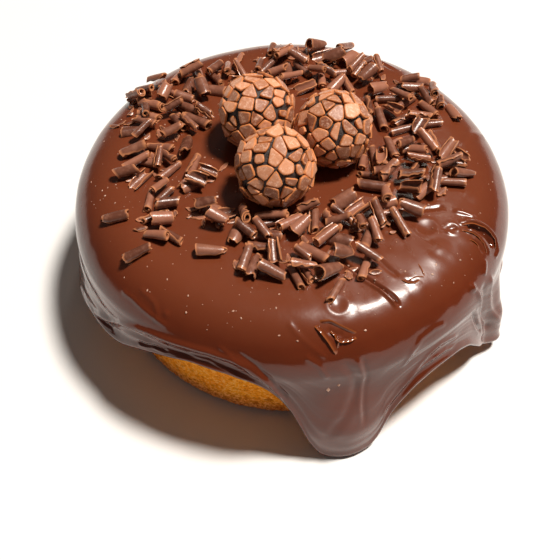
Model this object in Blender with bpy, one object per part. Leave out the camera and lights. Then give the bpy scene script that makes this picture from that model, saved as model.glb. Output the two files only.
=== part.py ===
"""Round carrot cake under poured chocolate ganache, with chocolate curls and three flaked truffles.

Metres, +Z up. The origin is in the middle of the cake's flat underside. The broad drip that runs
down to the base faces -Y, and the raised hem that bares the sponge is to its left.

Pieces: the baked sponge, the ganache coat with the curls that stick to it, and three truffle balls
whose whole surface is covered with flat chocolate flakes.
"""

import math
import random

import bmesh
import bpy
from mathutils import Matrix, Vector, noise

MM = 0.001
GAP = 0.3 * MM  # left between pieces that touch

# The sponge: baked in a tin with sloping sides, and standing on its narrow end.
SPONGE_BASE_RADIUS = 68.0 * MM
SPONGE_TOP_RADIUS = 73.2 * MM
SPONGE_HEIGHT = 56.0 * MM
SPONGE_BASE_EDGE = 2.6 * MM
SPONGE_TOP_EDGE = 8.0 * MM
SPONGE_EDGE_HEIGHTS = tuple(
    SPONGE_HEIGHT - SPONGE_TOP_EDGE * down for down in (1.0, 0.38, 0.08)
)
SPONGE_SIDE_HEIGHTS = (13 * MM, 24 * MM, 35 * MM)
SPONGE_CRUMB = 0.35 * MM
CRUMB_ROUND = 5.0  # how quickly the crumb's unevenness changes round the cake
CRUMB_UPWARDS = 0.12 / MM
SPONGE_COLUMNS = 46

# The ganache coat: a flat top, a wide round shoulder and a side that runs down into drips.
CAKE_RADIUS = 80.0 * MM
TOP_HEIGHT = 60.0 * MM
SHOULDER_WIDTH = 20.0 * MM
SHOULDER_DROP = 18.0 * MM
RIM_HEIGHT = TOP_HEIGHT - SHOULDER_DROP
FOOT_FLARE = 3.2 * MM
FLARE_END = 12.0 * MM  # the flare is complete at this height
COAT_THICKNESS = 5.2 * MM
HEM_BEAD = 1.1 * MM
HEM_BEAD_HEIGHT = 5.0 * MM
HEM_LIP = 2.0 * MM
HEM_WALL_LEAST = 3 * MM  # of side wall above the lip, where the hem is highest
LIP_SHARES = (0.35, 0.75)  # across the coat's thickness, where the lip is lowest
FLOW_WAVES = 0.45 * MM
WAVES_ROUND = 3.2
WAVES_UPWARDS = 0.035 / MM
TOP_FLAT_RADIUS = 42 * MM
COAT_COLUMNS = 100
SHOULDER_ROWS = 6
WALL_ROWS = 4
LINING_ROWS = 2

# Height of the coat's lower edge round the cake: (degrees from +X, millimetres above the base).
HEM = (
    (0, 9), (10, 12), (19, 6), (28, 14), (40, 16), (50, 8), (57, 0), (63, 2), (72, 15), (84, 18),
    (95, 10), (103, 4), (112, 12), (125, 17), (137, 14), (146, 3), (152, 0), (158, 5), (168, 14),
    (180, 11), (190, 10), (197, 16), (203, 19.5), (210, 22.5), (216, 24), (222, 26.5), (230, 33),
    (238, 38.5), (247, 42.3), (254, 42), (259, 40.3), (263, 37.5), (266.5, 33), (269.5, 26),
    (272, 17), (274.5, 7), (277, 1), (279, 0), (288, 0), (290.5, 3), (293, 12), (297, 19.5),
    (302, 24.5), (308, 26.5), (314, 26), (319, 23), (323, 17), (327, 10), (331, 5.5), (335, 3.5),
    (338, 5.5), (344, 13), (352, 13),
)  # fmt: skip

# Drips that stand out from the side, and one place where it is drawn in: (degrees, half-width in
# degrees, bulge in mm, thickening in mm).
DRIPS = (
    (283, 13, 4.0, 6.5),
    (335, 6.5, 4.8, 3.0),
    (343, 13, -2.8, -1.0),
    (57, 7, 2.4, 3.0),
    (103, 6, 1.6, 1.5),
    (152, 8, 2.6, 3.0),
    (20, 6, 1.4, 1.0),
)

# The truffles: (name, x, y of the centre in millimetres, seed of the flakes).
TRUFFLES = (
    ("truffle_front", -5.9, -14.1, 11),
    ("truffle_left", -12.4, 12.8, 22),
    ("truffle_right", 14.4, 4.6, 13),
)
TRUFFLE_RADIUS = 13.6 * MM
TRUFFLE_SINK = 1.1 * MM
FLAKES_ON_TRUFFLE = 95
FLAKE_GROOVE = 0.9 * MM
FLAKE_RIM = 0.42 * MM
FLAKE_JITTER = 0.07

# Drifts of curls, in plan: (x, y, half-length, half-width in mm, turn in degrees, curls).
CURL_DRIFTS = (
    (10, 51, 25, 12, 0, 32),
    (-39, 40, 24, 8, 18, 19),
    (-47, 21, 17, 8, 0, 12),
    (-44, -3, 18, 11, 0, 15),
    (-45, -27, 12, 6, 90, 7),
    (-28, -25, 7, 4, -20, 3),
    (-10, -31, 11, 7, -15, 9),
    (20, -28, 21, 9, 8, 20),
    (5, -47, 21, 6, 0, 12),
    (43, -3, 19, 14, 10, 31),
    (43, 29, 14, 14, 0, 18),
)

# Curls that lie apart: (x, y, heading and roll in degrees, length, radius in mm, whether a shell).
LONE_CURLS = (
    (-60, -26, 8, -20, 9.0, 2.6, True),
    (-51, -42, 24, -55, 9.5, 2.4, True),
    (-27, -42, -3, -60, 9.5, 2.4, True),
    (13.5, -57.5, 62, 0, 9.5, 1.7, False),
    (-13, -48, 75, 30, 9.0, 2.4, True),
    (-7, -51, -20, -50, 9.0, 2.4, True),
    (-11, -40, -8, 0, 9.0, 1.9, False),
    (-58, 37.5, -8, 0, 10.0, 1.6, False),
    (-20.5, 56, 72, 0, 7.5, 1.7, False),
    (-7.5, 63, 80, 0, 7.5, 1.8, False),
    (50, 46, 12, 0, 8.5, 1.8, False),
    (61, 26, 110, 20, 8.0, 2.4, True),
)
CURL_SEED = 7
CURL_TRIES = 60
CURL_SPOTS = 4  # how many spots are tried for the lowest
CURL_LENGTH = (10.6 * MM, 7.4 * MM)  # the longest fall first
CURL_RADIUS = (2.2 * MM, 1.5 * MM)
SHELL_RADIUS = (3.0 * MM, 2.2 * MM)
SHELL_SHARE = 0.36
SHELL_LEAN = math.radians(28)  # how far shells usually lie over to a side
SHELL_WALL = 0.8 * MM
SHELL_REACH = math.radians(15)  # how far a shell's edges come round past its half circle
OPEN_UP_SHARE = 0.3
OPEN_SHELL_SEAT = 0.77  # how high a shell on its back lies, of its radius
SHELL_SHORTER = 0.85
CURL_CUT = 0.45  # how slanted a curl's broken ends are
CURL_SINK = 0.35 * MM
CURL_LIFT_STEP = 0.4 * MM
CURL_LIFT_STEPS = 16
CURL_LEANS = ((0.0, 1.0), (1.0, 0.0), (0.5, 1.0), (1.0, 0.5))  # how far each end is lifted
CURL_STEEPEST = 0.4  # of its length, how much higher one end of a curl lies than the other
CURL_PRESS = 0.4 * MM  # how deep a leaning curl is pressed into what is below it
CURL_OVERLAP = 0.76  # of the two radii, how close curls come to each other
CURLS_IN_SOLID = 152
CURL_MOST_REACH = 75.0 * MM


def clear_scene():
    for old in list(bpy.data.objects):
        bpy.data.objects.remove(old, do_unlink=True)


def food_material(name, colour, roughness):
    material = bpy.data.materials.new(name)
    material.use_nodes = True
    shader = material.node_tree.nodes["Principled BSDF"]
    shader.inputs["Base Color"].default_value = (*colour, 1.0)
    shader.inputs["Roughness"].default_value = roughness
    shader.inputs["Metallic"].default_value = 0.0
    return material


def object_from(name, mesh_builder, material):
    """Turns a bmesh into a smooth-shaded object of its own, with its faces pointing out."""
    bmesh.ops.recalc_face_normals(mesh_builder, faces=mesh_builder.faces)
    mesh = bpy.data.meshes.new(name)
    mesh_builder.to_mesh(mesh)
    mesh_builder.free()
    mesh.shade_smooth()
    mesh.set_sharp_from_angle(angle=math.radians(40))
    mesh.materials.append(material)
    piece = bpy.data.objects.new(name, mesh)
    bpy.context.scene.collection.objects.link(piece)
    return piece


def smooth_step(value):
    value = min(max(value, 0.0), 1.0)
    return value * value * (3.0 - 2.0 * value)


def angle_between(first, second):
    """Degrees from one bearing to another, between -180 and 180."""
    return (first - second + 180.0) % 360.0 - 180.0


def hem_slope(number):
    """Slope of the hem at one of its points: none at a crest or a foot, so it never overshoots."""
    rises = []
    for first in (number - 1, number):
        here, there = HEM[first % len(HEM)], HEM[(first + 1) % len(HEM)]
        rises.append((there[1] - here[1]) / ((there[0] - here[0]) % 360.0))
    if rises[0] * rises[1] <= 0.0:
        return 0.0
    return 2.0 * rises[0] * rises[1] / (rises[0] + rises[1])


def hem_height(bearing):
    """Height of the coat's lower edge at a bearing in degrees, on a smooth line through HEM."""
    bearing %= 360.0
    after = next((i for i, (at, _) in enumerate(HEM) if at > bearing), len(HEM))
    (start, low), (end, high) = HEM[after - 1], HEM[after % len(HEM)]
    span = (end - start) % 360.0
    share = (bearing - start) % 360.0 / span
    ease = smooth_step(share)
    leave = share * (1.0 - share) ** 2 * span * hem_slope(after - 1)
    arrive = share**2 * (1.0 - share) * span * hem_slope(after)
    return (low + (high - low) * ease + leave - arrive) * MM


def drip_share(bearing, drip):
    """1 in the middle of a drip, falling to 0 at its sides."""
    return smooth_step(1.0 - abs(angle_between(bearing, drip[0])) / drip[1])


def flow_wave(bearing, height):
    """The slow ripple that the ganache froze with, mostly upright streaks."""
    turn = math.radians(bearing)
    ring = (math.cos(turn) * WAVES_ROUND, math.sin(turn) * WAVES_ROUND)
    place = Vector((*ring, height * WAVES_UPWARDS))
    return noise.noise(place) * FLOW_WAVES


def coat_radius(bearing, height):
    """Radius of the coat's outside, from the shoulder down to the hem."""
    bead = smooth_step(1.0 - (height - hem_height(bearing)) / HEM_BEAD_HEIGHT) * HEM_BEAD
    if height > RIM_HEIGHT:
        rise = min((height - RIM_HEIGHT) / SHOULDER_DROP, 1.0)
        return CAKE_RADIUS - SHOULDER_WIDTH * (1.0 - math.sqrt(1.0 - rise * rise)) + bead
    fall = smooth_step((RIM_HEIGHT - height) / (RIM_HEIGHT - FLARE_END))
    bulge = sum(drip[2] * MM * drip_share(bearing, drip) for drip in DRIPS)
    return CAKE_RADIUS + (FOOT_FLARE + bulge) * fall + bead + flow_wave(bearing, height) * fall


def sponge_radius(height):
    """Radius of the sponge's side, with its rounded upper edge."""
    side = SPONGE_BASE_RADIUS + (SPONGE_TOP_RADIUS - SPONGE_BASE_RADIUS) * height / SPONGE_HEIGHT
    over = min(max(height - (SPONGE_HEIGHT - SPONGE_TOP_EDGE), 0.0), SPONGE_TOP_EDGE)
    return side - SPONGE_TOP_EDGE + math.sqrt(SPONGE_TOP_EDGE**2 - over**2)


def top_height(x, y):
    """Height of the ganache's upper side at a place in plan."""
    over = min(max(math.hypot(x, y) - (CAKE_RADIUS - SHOULDER_WIDTH), 0.0), SHOULDER_WIDTH)
    return RIM_HEIGHT + SHOULDER_DROP * math.sqrt(1.0 - (over / SHOULDER_WIDTH) ** 2)


def turned_body(columns, profile_at):
    """A closed body between two points on the axis; profile_at gives (radius, height) rows."""
    builder = bmesh.new()
    rings = []
    for column in range(columns):
        bearing = 360.0 * column / columns
        turn = math.radians(bearing)
        rings.append(
            [
                builder.verts.new((radius * math.cos(turn), radius * math.sin(turn), height))
                for radius, height in profile_at(bearing)
            ]
        )
    first_height = rings[0][0].co.z
    last_height = rings[0][-1].co.z
    start = builder.verts.new((0.0, 0.0, first_height))
    end = builder.verts.new((0.0, 0.0, last_height))
    for column in range(columns):
        here, beside = rings[column], rings[(column + 1) % columns]
        builder.faces.new((start, here[0], beside[0]))
        builder.faces.new((end, beside[-1], here[-1]))
        for row in range(len(here) - 1):
            builder.faces.new((here[row], here[row + 1], beside[row + 1], beside[row]))
    return builder


def sponge_profile(bearing):
    """The sponge's side from its underside up, roughened a little by the crumb."""
    edge = SPONGE_BASE_EDGE
    round_off = edge * (1.0 - math.sqrt(0.5))
    rows = [
        (SPONGE_BASE_RADIUS - edge, 0.0),
        (SPONGE_BASE_RADIUS - round_off, round_off),
    ]
    turn = math.radians(bearing)
    ring = (math.cos(turn) * CRUMB_ROUND, math.sin(turn) * CRUMB_ROUND)
    for height in (edge, *SPONGE_SIDE_HEIGHTS):
        place = Vector((*ring, height * CRUMB_UPWARDS))
        rows.append((sponge_radius(height) + noise.noise(place) * SPONGE_CRUMB, height))
    rows += [(sponge_radius(height), height) for height in (*SPONGE_EDGE_HEIGHTS, SPONGE_HEIGHT)]
    return rows


def make_sponge():
    crumb = food_material("baked_carrot_sponge", (0.58, 0.25, 0.06), 0.85)
    object_from("carrot_sponge", turned_body(SPONGE_COLUMNS, sponge_profile), crumb)


def coat_lining(bearing, height, thickness):
    """Radius of the coat's inner side: clear of the sponge, and a drip's thickness inwards."""
    return max(sponge_radius(height) + GAP + SPONGE_CRUMB, coat_radius(bearing, height) - thickness)


def coat_profile(bearing):
    """The coat's cross-section: over the top, down the side, round the lip and up the lining."""
    hem = hem_height(bearing)
    lip = hem + HEM_LIP
    thickness = COAT_THICKNESS + sum(drip[3] * MM * drip_share(bearing, drip) for drip in DRIPS)
    rows = [(TOP_FLAT_RADIUS, TOP_HEIGHT)]
    wall_top = max(RIM_HEIGHT, lip + HEM_WALL_LEAST)
    last_slope = math.asin((wall_top - RIM_HEIGHT) / SHOULDER_DROP)
    for row in range(SHOULDER_ROWS):
        slope = math.pi / 2 + (last_slope - math.pi / 2) * row / SHOULDER_ROWS
        radius = CAKE_RADIUS - SHOULDER_WIDTH * (1.0 - math.cos(slope))
        rows.append((radius, RIM_HEIGHT + SHOULDER_DROP * math.sin(slope)))
    for row in range(WALL_ROWS + 1):
        height = wall_top + (lip - wall_top) * row / WALL_ROWS
        rows.append((coat_radius(bearing, height), height))
    outside = coat_radius(bearing, lip)
    inside = coat_lining(bearing, lip, thickness)
    for share in LIP_SHARES:
        rows.append((outside + (inside - outside) * share, hem))
    for row in range(LINING_ROWS):
        height = lip + (SPONGE_EDGE_HEIGHTS[0] - lip) * row / LINING_ROWS
        rows.append((coat_lining(bearing, height, thickness), height))
    for height in SPONGE_EDGE_HEIGHTS:
        rows.append((sponge_radius(height) + GAP + SPONGE_CRUMB, height))
    rows.append((sponge_radius(SPONGE_HEIGHT) + GAP, SPONGE_HEIGHT + GAP))
    return rows


def distance_between(start, end, other_start, other_end):
    """Shortest distance between two straight stretches."""
    along, other_along, apart = end - start, other_end - other_start, start - other_start
    length, other_length = along.dot(along), other_along.dot(other_along)
    lean, turn = along.dot(apart), other_along.dot(apart)
    both = along.dot(other_along)
    spread = length * other_length - both * both
    share = 0.5
    if spread > 1e-18:
        share = min(max((both * turn - lean * other_length) / spread, 0.0), 1.0)
    other_share = (both * share + turn) / other_length
    if not 0.0 <= other_share <= 1.0:
        other_share = min(max(other_share, 0.0), 1.0)
        share = min(max((both * other_share - lean) / length, 0.0), 1.0)
    return (apart + along * share - other_along * other_share).length


def curl_is_free(start, end, radius, near):
    """Whether a curl lying between two points clears the truffles and the curls near it."""
    reach = TRUFFLE_RADIUS + radius + 2 * GAP
    for _, x, y, _ in TRUFFLES:
        centre = Vector((x * MM, y * MM, TOP_HEIGHT + TRUFFLE_RADIUS - TRUFFLE_SINK))
        if distance_between(start, end, centre, centre + Vector((0, 0, MM))) < reach:
            return False
    for other in near:
        limit = (radius + other["radius"]) * CURL_OVERLAP
        if distance_between(start, end, other["start"], other["end"]) < limit:
            return False
    return True


def settle_curl(x, y, heading, length, radius, seat, laid):
    """Lowest rest of a curl here, as (lift, start, end): flat, or leaning on what lies below."""
    half = Vector((math.cos(heading), math.sin(heading), 0.0)) * length / 2
    ends = []
    for side in (-1, 1):
        place = Vector((x, y, 0.0)) + half * side
        if math.hypot(place.x, place.y) > CURL_MOST_REACH:
            return None
        place.z = top_height(place.x, place.y) + seat - CURL_SINK
        ends.append(place)
    middle = (ends[0] + ends[1]) / 2
    near = []
    for other in laid:
        apart = (other["start"] + other["end"]) / 2 - middle
        reach = (length + (other["end"] - other["start"]).length) / 2 + radius + other["radius"]
        if apart.length < reach:
            near.append(other)
    for step in range(CURL_LIFT_STEPS):
        lift = step * CURL_LIFT_STEP
        for shares in CURL_LEANS:
            if abs(shares[0] - shares[1]) * lift > CURL_STEEPEST * length:
                continue
            start, end = (
                place + Vector((0.0, 0.0, lift * share - CURL_PRESS * min(step, 1)))
                for place, share in zip(ends, shares)
            )
            if curl_is_free(start, end, radius, near):
                return lift * sum(shares), start, end
    return None


def spot_in_drift(drift, draw):
    """A random place inside a drift's ellipse, in metres."""
    x, y, half_length, half_width, turn, _ = drift
    out = math.sqrt(draw.random())
    round_drift = draw.uniform(0.0, math.tau)
    along = half_length * out * math.cos(round_drift)
    across = half_width * out * math.sin(round_drift)
    lean = math.radians(turn)
    return (
        (x + along * math.cos(lean) - across * math.sin(lean)) * MM,
        (y + along * math.sin(lean) + across * math.cos(lean)) * MM,
    )


def shaped_curl(is_shell, roll, length, radius, draw):
    """A curl of a given size and roll, with its taper, its broken ends and how high it sits."""
    seat = radius
    if is_shell and abs(roll) > math.pi / 2:
        seat = radius * OPEN_SHELL_SEAT
    elif is_shell:
        seat = radius * math.sin(min(SHELL_REACH + abs(roll), math.pi / 2))
    return {
        "is_shell": is_shell,
        "radius": radius,
        "length": length,
        "seat": seat,
        "roll": roll,
        "taper": draw.uniform(0.7, 1.0),
        "cuts": [draw.uniform(-CURL_CUT, CURL_CUT) for _ in range(2)],
    }


def new_curl(share, draw):
    """Size and form of a curl that falls when this share of its drift already lies there."""
    is_shell = draw.random() < SHELL_SHARE
    opens_up = draw.random() < OPEN_UP_SHARE
    radii = SHELL_RADIUS if is_shell else CURL_RADIUS
    radius = draw.uniform(radii[0], radii[1])
    length = CURL_LENGTH[0] + (CURL_LENGTH[1] - CURL_LENGTH[0]) * share
    length *= draw.uniform(0.88, 1.12) * (SHELL_SHORTER if is_shell else 1.0)
    roll = draw.uniform(0.0, math.tau)
    if is_shell:
        roll = math.pi if opens_up else draw.uniform(-SHELL_LEAN, SHELL_LEAN)
    return shaped_curl(is_shell, roll, length, radius, draw)


def lay_curls():
    """Drops the curls one by one, the longest first; each takes the lowest of a few spots."""
    draw = random.Random(CURL_SEED)
    laid = []
    for x, y, heading, roll, length, radius, is_shell in LONE_CURLS:
        curl = shaped_curl(is_shell, math.radians(roll), length * MM, radius * MM, draw)
        size = (curl["length"], curl["radius"], curl["seat"])
        rest = settle_curl(x * MM, y * MM, math.radians(heading), *size, laid)
        _, curl["start"], curl["end"] = rest
        laid.append(curl)
    for place in range(max(drift[-1] for drift in CURL_DRIFTS)):
        for drift in CURL_DRIFTS:
            if place >= drift[-1]:
                continue
            curl = new_curl(place / drift[-1], draw)
            rests = []
            for _ in range(CURL_TRIES):
                x, y = spot_in_drift(drift, draw)
                heading = draw.uniform(0.0, math.pi)
                size = (curl["length"], curl["radius"], curl["seat"])
                rest = settle_curl(x, y, heading, *size, laid)
                if rest:
                    rests.append(rest)
                if len(rests) == CURL_SPOTS:
                    break
            if rests:
                _, curl["start"], curl["end"] = min(rests, key=lambda rest: rest[0])
                laid.append(curl)
    return laid


def curl_section(is_shell, radius):
    """Outline across a curl: a six-sided roll, or a thin open shell."""
    if not is_shell:
        turns = [math.tau * side / 6 for side in range(6)]
        return [(radius * math.cos(turn), radius * math.sin(turn)) for turn in turns]
    outer = [-SHELL_REACH, math.pi * 0.28, math.pi * 0.72, math.pi + SHELL_REACH]
    inner = [math.pi + SHELL_REACH * 0.7, math.pi / 2, -SHELL_REACH * 0.7]
    hollow = radius - SHELL_WALL
    return [(radius * math.cos(turn), radius * math.sin(turn)) for turn in outer] + [
        (hollow * math.cos(turn), hollow * math.sin(turn)) for turn in inner
    ]


def add_curl(curl, collection):
    """One curl as a closed prism between its two ends, a little narrower at the far one."""
    along = curl["end"] - curl["start"]
    facing = along.to_track_quat("Z", "Y").to_matrix().to_4x4()
    place = Matrix.Translation(curl["start"]) @ facing @ Matrix.Rotation(curl["roll"], 4, "Z")
    builder = bmesh.new()
    section = curl_section(curl["is_shell"], curl["radius"])
    rings = []
    for share, size, cut in zip((0.0, 1.0), (1.0, curl["taper"]), curl["cuts"]):
        ring = []
        for across, up in section:
            point = Vector((across * size, up * size, along.length * share + across * cut))
            ring.append(builder.verts.new(place @ point))
        rings.append(ring)
    builder.faces.new(rings[0][::-1])
    builder.faces.new(rings[1])
    for side in range(len(section)):
        after = (side + 1) % len(section)
        builder.faces.new((rings[0][side], rings[0][after], rings[1][after], rings[1][side]))
    bmesh.ops.recalc_face_normals(builder, faces=builder.faces)
    mesh = bpy.data.meshes.new("curl")
    builder.to_mesh(mesh)
    builder.free()
    collection.objects.link(bpy.data.objects.new("curl", mesh))


def keep_largest_shell(mesh):
    """Fills sealed hollows and drops loose scraps, by keeping only the outer surface."""
    builder = bmesh.new()
    builder.from_mesh(mesh)
    unseen = set(builder.verts)
    shells = []
    while unseen:
        waiting = [unseen.pop()]
        shell = set(waiting)
        while waiting:
            for edge in waiting.pop().link_edges:
                for vertex in edge.verts:
                    if vertex in unseen:
                        unseen.discard(vertex)
                        shell.add(vertex)
                        waiting.append(vertex)
        shells.append(shell)
    shells.sort(key=len, reverse=True)
    for shell in shells[1:]:
        bmesh.ops.delete(builder, geom=list(shell), context="VERTS")
    builder.to_mesh(mesh)
    builder.free()


def fuse_curls(coat, curls):
    """Joins the curls to the coat with one Boolean union, and removes the loose ones."""
    loose = bpy.data.collections.new("loose_curls")
    bpy.context.scene.collection.children.link(loose)
    for curl in curls:
        add_curl(curl, loose)
    union = coat.modifiers.new("stick_curls", "BOOLEAN")
    union.operation = "UNION"
    union.operand_type = "COLLECTION"
    union.collection = loose
    union.solver = "EXACT"
    graph = bpy.context.evaluated_depsgraph_get()
    fused = bpy.data.meshes.new_from_object(coat.evaluated_get(graph))
    coat.modifiers.clear()
    coat.data = fused
    for curl in list(loose.objects):
        bpy.data.objects.remove(curl, do_unlink=True)
    bpy.data.collections.remove(loose)
    keep_largest_shell(fused)


def make_ganache():
    glossy = food_material("chocolate_ganache", (0.085, 0.030, 0.014), 0.18)
    coat = object_from("chocolate_ganache", turned_body(COAT_COLUMNS, coat_profile), glossy)
    fuse_curls(coat, lay_curls()[:CURLS_IN_SOLID])


def flake_centres(seed):
    """Directions of the flakes: an even spiral over the ball, each pushed a little aside."""
    draw = random.Random(seed)
    golden = math.pi * (3.0 - math.sqrt(5.0))
    spin = draw.uniform(0.0, math.tau)
    centres = []
    for number in range(FLAKES_ON_TRUFFLE):
        rise = 1.0 - 2.0 * (number + 0.5) / FLAKES_ON_TRUFFLE
        out = math.sqrt(1.0 - rise * rise)
        turn = golden * number + spin
        push = Vector([draw.gauss(0.0, FLAKE_JITTER) for _ in range(3)])
        centre = Vector((out * math.cos(turn), out * math.sin(turn), rise)) + push
        centres.append(centre.normalized())
    return centres


def flake_outlines(centres):
    """The patch of ball nearest to each flake centre, as directions in order round it."""
    hull = bmesh.new()
    for centre in centres:
        hull.verts.new(centre)
    bmesh.ops.convex_hull(hull, input=hull.verts)
    hull.faces.index_update()
    hull.normal_update()
    corners = {}
    for face in hull.faces:
        outward = face.normal if face.normal.dot(face.verts[0].co) > 0 else -face.normal
        corners[face.index] = outward.copy()
    patches = []
    for vertex in hull.verts:
        centre = vertex.co.normalized()
        east = centre.orthogonal().normalized()
        north = centre.cross(east)
        around = sorted(
            (face.index for face in vertex.link_faces),
            key=lambda index: math.atan2(corners[index].dot(north), corners[index].dot(east)),
        )
        patches.append((centre, around))
    hull.free()
    return corners, patches


def flaked_ball(seed):
    """A ball whose whole surface is flat flakes with V-shaped grooves between them."""
    corners, patches = flake_outlines(flake_centres(seed))
    ball = bmesh.new()
    depth = TRUFFLE_RADIUS - FLAKE_GROOVE
    low = {index: ball.verts.new(way * depth) for index, way in corners.items()}
    rim_share = FLAKE_RIM / TRUFFLE_RADIUS
    for centre, around in patches:
        middle = sum((corners[index] for index in around), Vector()) / len(around)
        flat = TRUFFLE_RADIUS * middle.length
        middle.normalize()
        tops = []
        for index in around:
            inwards = middle - corners[index]
            way = corners[index] + inwards * min(rim_share / inwards.length, 0.5)
            tops.append(ball.verts.new(way * (flat / way.dot(middle))))
        ball.faces.new(tops)
        for side, index in enumerate(around):
            after = (side + 1) % len(around)
            ball.faces.new((low[index], low[around[after]], tops[after], tops[side]))
    return ball


def cut_flat(ball, seat):
    """Cuts a ball off at a height and closes it there with one flat face."""
    everything = ball.verts[:] + ball.edges[:] + ball.faces[:]
    bmesh.ops.bisect_plane(
        ball, geom=everything, plane_co=(0, 0, seat), plane_no=(0, 0, 1), clear_inner=True
    )
    rim = [edge for edge in ball.edges if edge.is_boundary]
    bmesh.ops.holes_fill(ball, edges=rim)


def make_truffle(name, x, y, seed, material):
    """A truffle ball, flat where it sits on the ganache."""
    centre = Vector((x * MM, y * MM, TOP_HEIGHT + TRUFFLE_RADIUS - TRUFFLE_SINK))
    ball = flaked_ball(seed)
    cut_flat(ball, TOP_HEIGHT + GAP - centre.z)
    truffle = object_from(name, ball, material)
    truffle.location = centre
    return truffle


clear_scene()
make_sponge()
make_ganache()
flaked = food_material("flaked_truffle", (0.33, 0.13, 0.06), 0.5)
for truffle_name, truffle_x, truffle_y, truffle_seed in TRUFFLES:
    make_truffle(truffle_name, truffle_x, truffle_y, truffle_seed, flaked)
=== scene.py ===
# %% [markdown]
# # A carrot cake under poured chocolate
#
# This lesson dresses one small round cake in Blender. The baker turned a carrot sponge out of its
# tin, stood it on its narrow end and poured warm ganache over it. The ganache ran down the side in
# sheets and drips, and bared some sponge where it stopped short. While it was soft, chocolate
# curls and three truffles covered with flat flakes went on top.
#
# A plain solid of each piece already exists and holds its true size. Each gets a finer skin of
# the same form here. The frame below loads those solids, and every length is in metres.

import math
import random

import bmesh
import bpy
import numpy as np
from mathutils import Matrix, Vector, noise


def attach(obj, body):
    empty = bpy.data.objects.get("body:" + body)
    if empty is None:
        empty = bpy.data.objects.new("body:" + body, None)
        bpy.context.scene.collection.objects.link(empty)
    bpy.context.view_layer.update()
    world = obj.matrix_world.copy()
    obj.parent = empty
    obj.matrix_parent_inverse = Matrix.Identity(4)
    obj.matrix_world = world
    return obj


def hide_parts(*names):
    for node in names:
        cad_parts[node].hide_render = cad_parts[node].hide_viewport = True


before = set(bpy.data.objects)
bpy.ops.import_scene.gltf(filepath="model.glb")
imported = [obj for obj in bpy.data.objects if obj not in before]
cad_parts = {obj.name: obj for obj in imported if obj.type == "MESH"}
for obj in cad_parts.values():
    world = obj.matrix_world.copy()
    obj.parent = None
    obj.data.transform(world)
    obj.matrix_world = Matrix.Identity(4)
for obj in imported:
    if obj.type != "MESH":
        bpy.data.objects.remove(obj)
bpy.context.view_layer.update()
MM = 0.001

# %% [markdown]
# ## The camera
#
# The cake was seen from above, about 52 degrees over the floor, and from only 37 cm away. A near
# camera makes the front of the rim look larger than the back, so the distance matters as much as
# the angle. The lens follows from the distance and from how much of the picture the cake fills.

# %% Stand the camera
VIEW_ANGLE = math.radians(52.5)
VIEW_DISTANCE = 0.366
VIEW_AIM = Vector((-0.0042, -0.0065, 0.0))
PICTURE_SIDE = 560
FOCAL_PIXELS = 900

camera_data = bpy.data.cameras.new("cake_view")
camera_data.sensor_width = 36.0
camera_data.lens = camera_data.sensor_width * FOCAL_PIXELS / PICTURE_SIDE
camera_data.clip_start = 0.01
camera = bpy.data.objects.new("cake_view", camera_data)
bpy.context.scene.collection.objects.link(camera)
camera.rotation_euler = (math.pi / 2 - VIEW_ANGLE, 0.0, 0.0)
camera.location = VIEW_AIM + VIEW_DISTANCE * Vector(
    (0.0, -math.cos(VIEW_ANGLE), math.sin(VIEW_ANGLE))
)
bpy.context.scene.camera = camera
print("lens in mm:", round(camera_data.lens, 1))

# %% [markdown]
# ## Floor and light
#
# Glossy ganache shows its surroundings as much as its own colour. Its upright side mirrors the
# pale floor, and the shoulder mirrors the dim room. That dark band round the shoulder is what
# makes the cake look wet, so the room stays nearly black and the floor is wide and pale. The main
# light comes from high up on the right: the truffles throw short shadows to the left, and the
# mirror image of the lamp lies low on the front of the shoulder. A second, fainter window farther
# back is the hazy gleam on the right of the top. Plain contrast without film-like softening keeps
# the chocolate as dark as it is.

# %% Lay the floor and hang the lamps
FLOOR_HALF = 6.0
floor_mesh = bpy.data.meshes.new("pale_floor")
floor_corners = [
    (x * FLOOR_HALF, y * FLOOR_HALF, -0.2 * MM) for x, y in ((-1, -1), (1, -1), (1, 1), (-1, 1))
]
floor_mesh.from_pydata(floor_corners, [], [(0, 1, 2, 3)])
floor = bpy.data.objects.new("pale_floor", floor_mesh)
bpy.context.scene.collection.objects.link(floor)
floor_paint = bpy.data.materials.new("pale_floor")
floor_paint.use_nodes = True
floor_shader = floor_paint.node_tree.nodes["Principled BSDF"]
floor_shader.inputs["Base Color"].default_value = (0.80, 0.79, 0.78, 1.0)
floor_shader.inputs["Roughness"].default_value = 0.6
floor_mesh.materials.append(floor_paint)

room = bpy.data.worlds.new("dim_room")
room.use_nodes = True
room_light = room.node_tree.nodes["Background"]
room_light.inputs["Color"].default_value = (1.0, 0.93, 0.86, 1.0)
room_light.inputs["Strength"].default_value = 0.09
bpy.context.scene.world = room
bpy.context.scene.view_settings.view_transform = "Standard"
LAMP_AIM = Vector((0.0, 0.0, 0.04))


def hang_lamp(name, direction, distance, side, watts, colour):
    """A round lamp that faces the cake from a direction."""
    lamp_data = bpy.data.lights.new(name, "AREA")
    lamp_data.shape = "DISK"
    lamp_data.size = side
    lamp_data.energy = watts
    lamp_data.color = colour
    lamp = bpy.data.objects.new(name, lamp_data)
    bpy.context.scene.collection.objects.link(lamp)
    lamp.location = LAMP_AIM + Vector(direction).normalized() * distance
    lamp.rotation_euler = (lamp.location - LAMP_AIM).to_track_quat("Z", "Y").to_euler()


hang_lamp("high_lamp", (0.34, 0.07, 0.94), 3.0, 0.52, 140.0, (1.0, 0.95, 0.88))
hang_lamp("far_window", (0.155, 0.61, 0.78), 2.6, 0.24, 1.7, (1.0, 0.90, 0.78))

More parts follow.
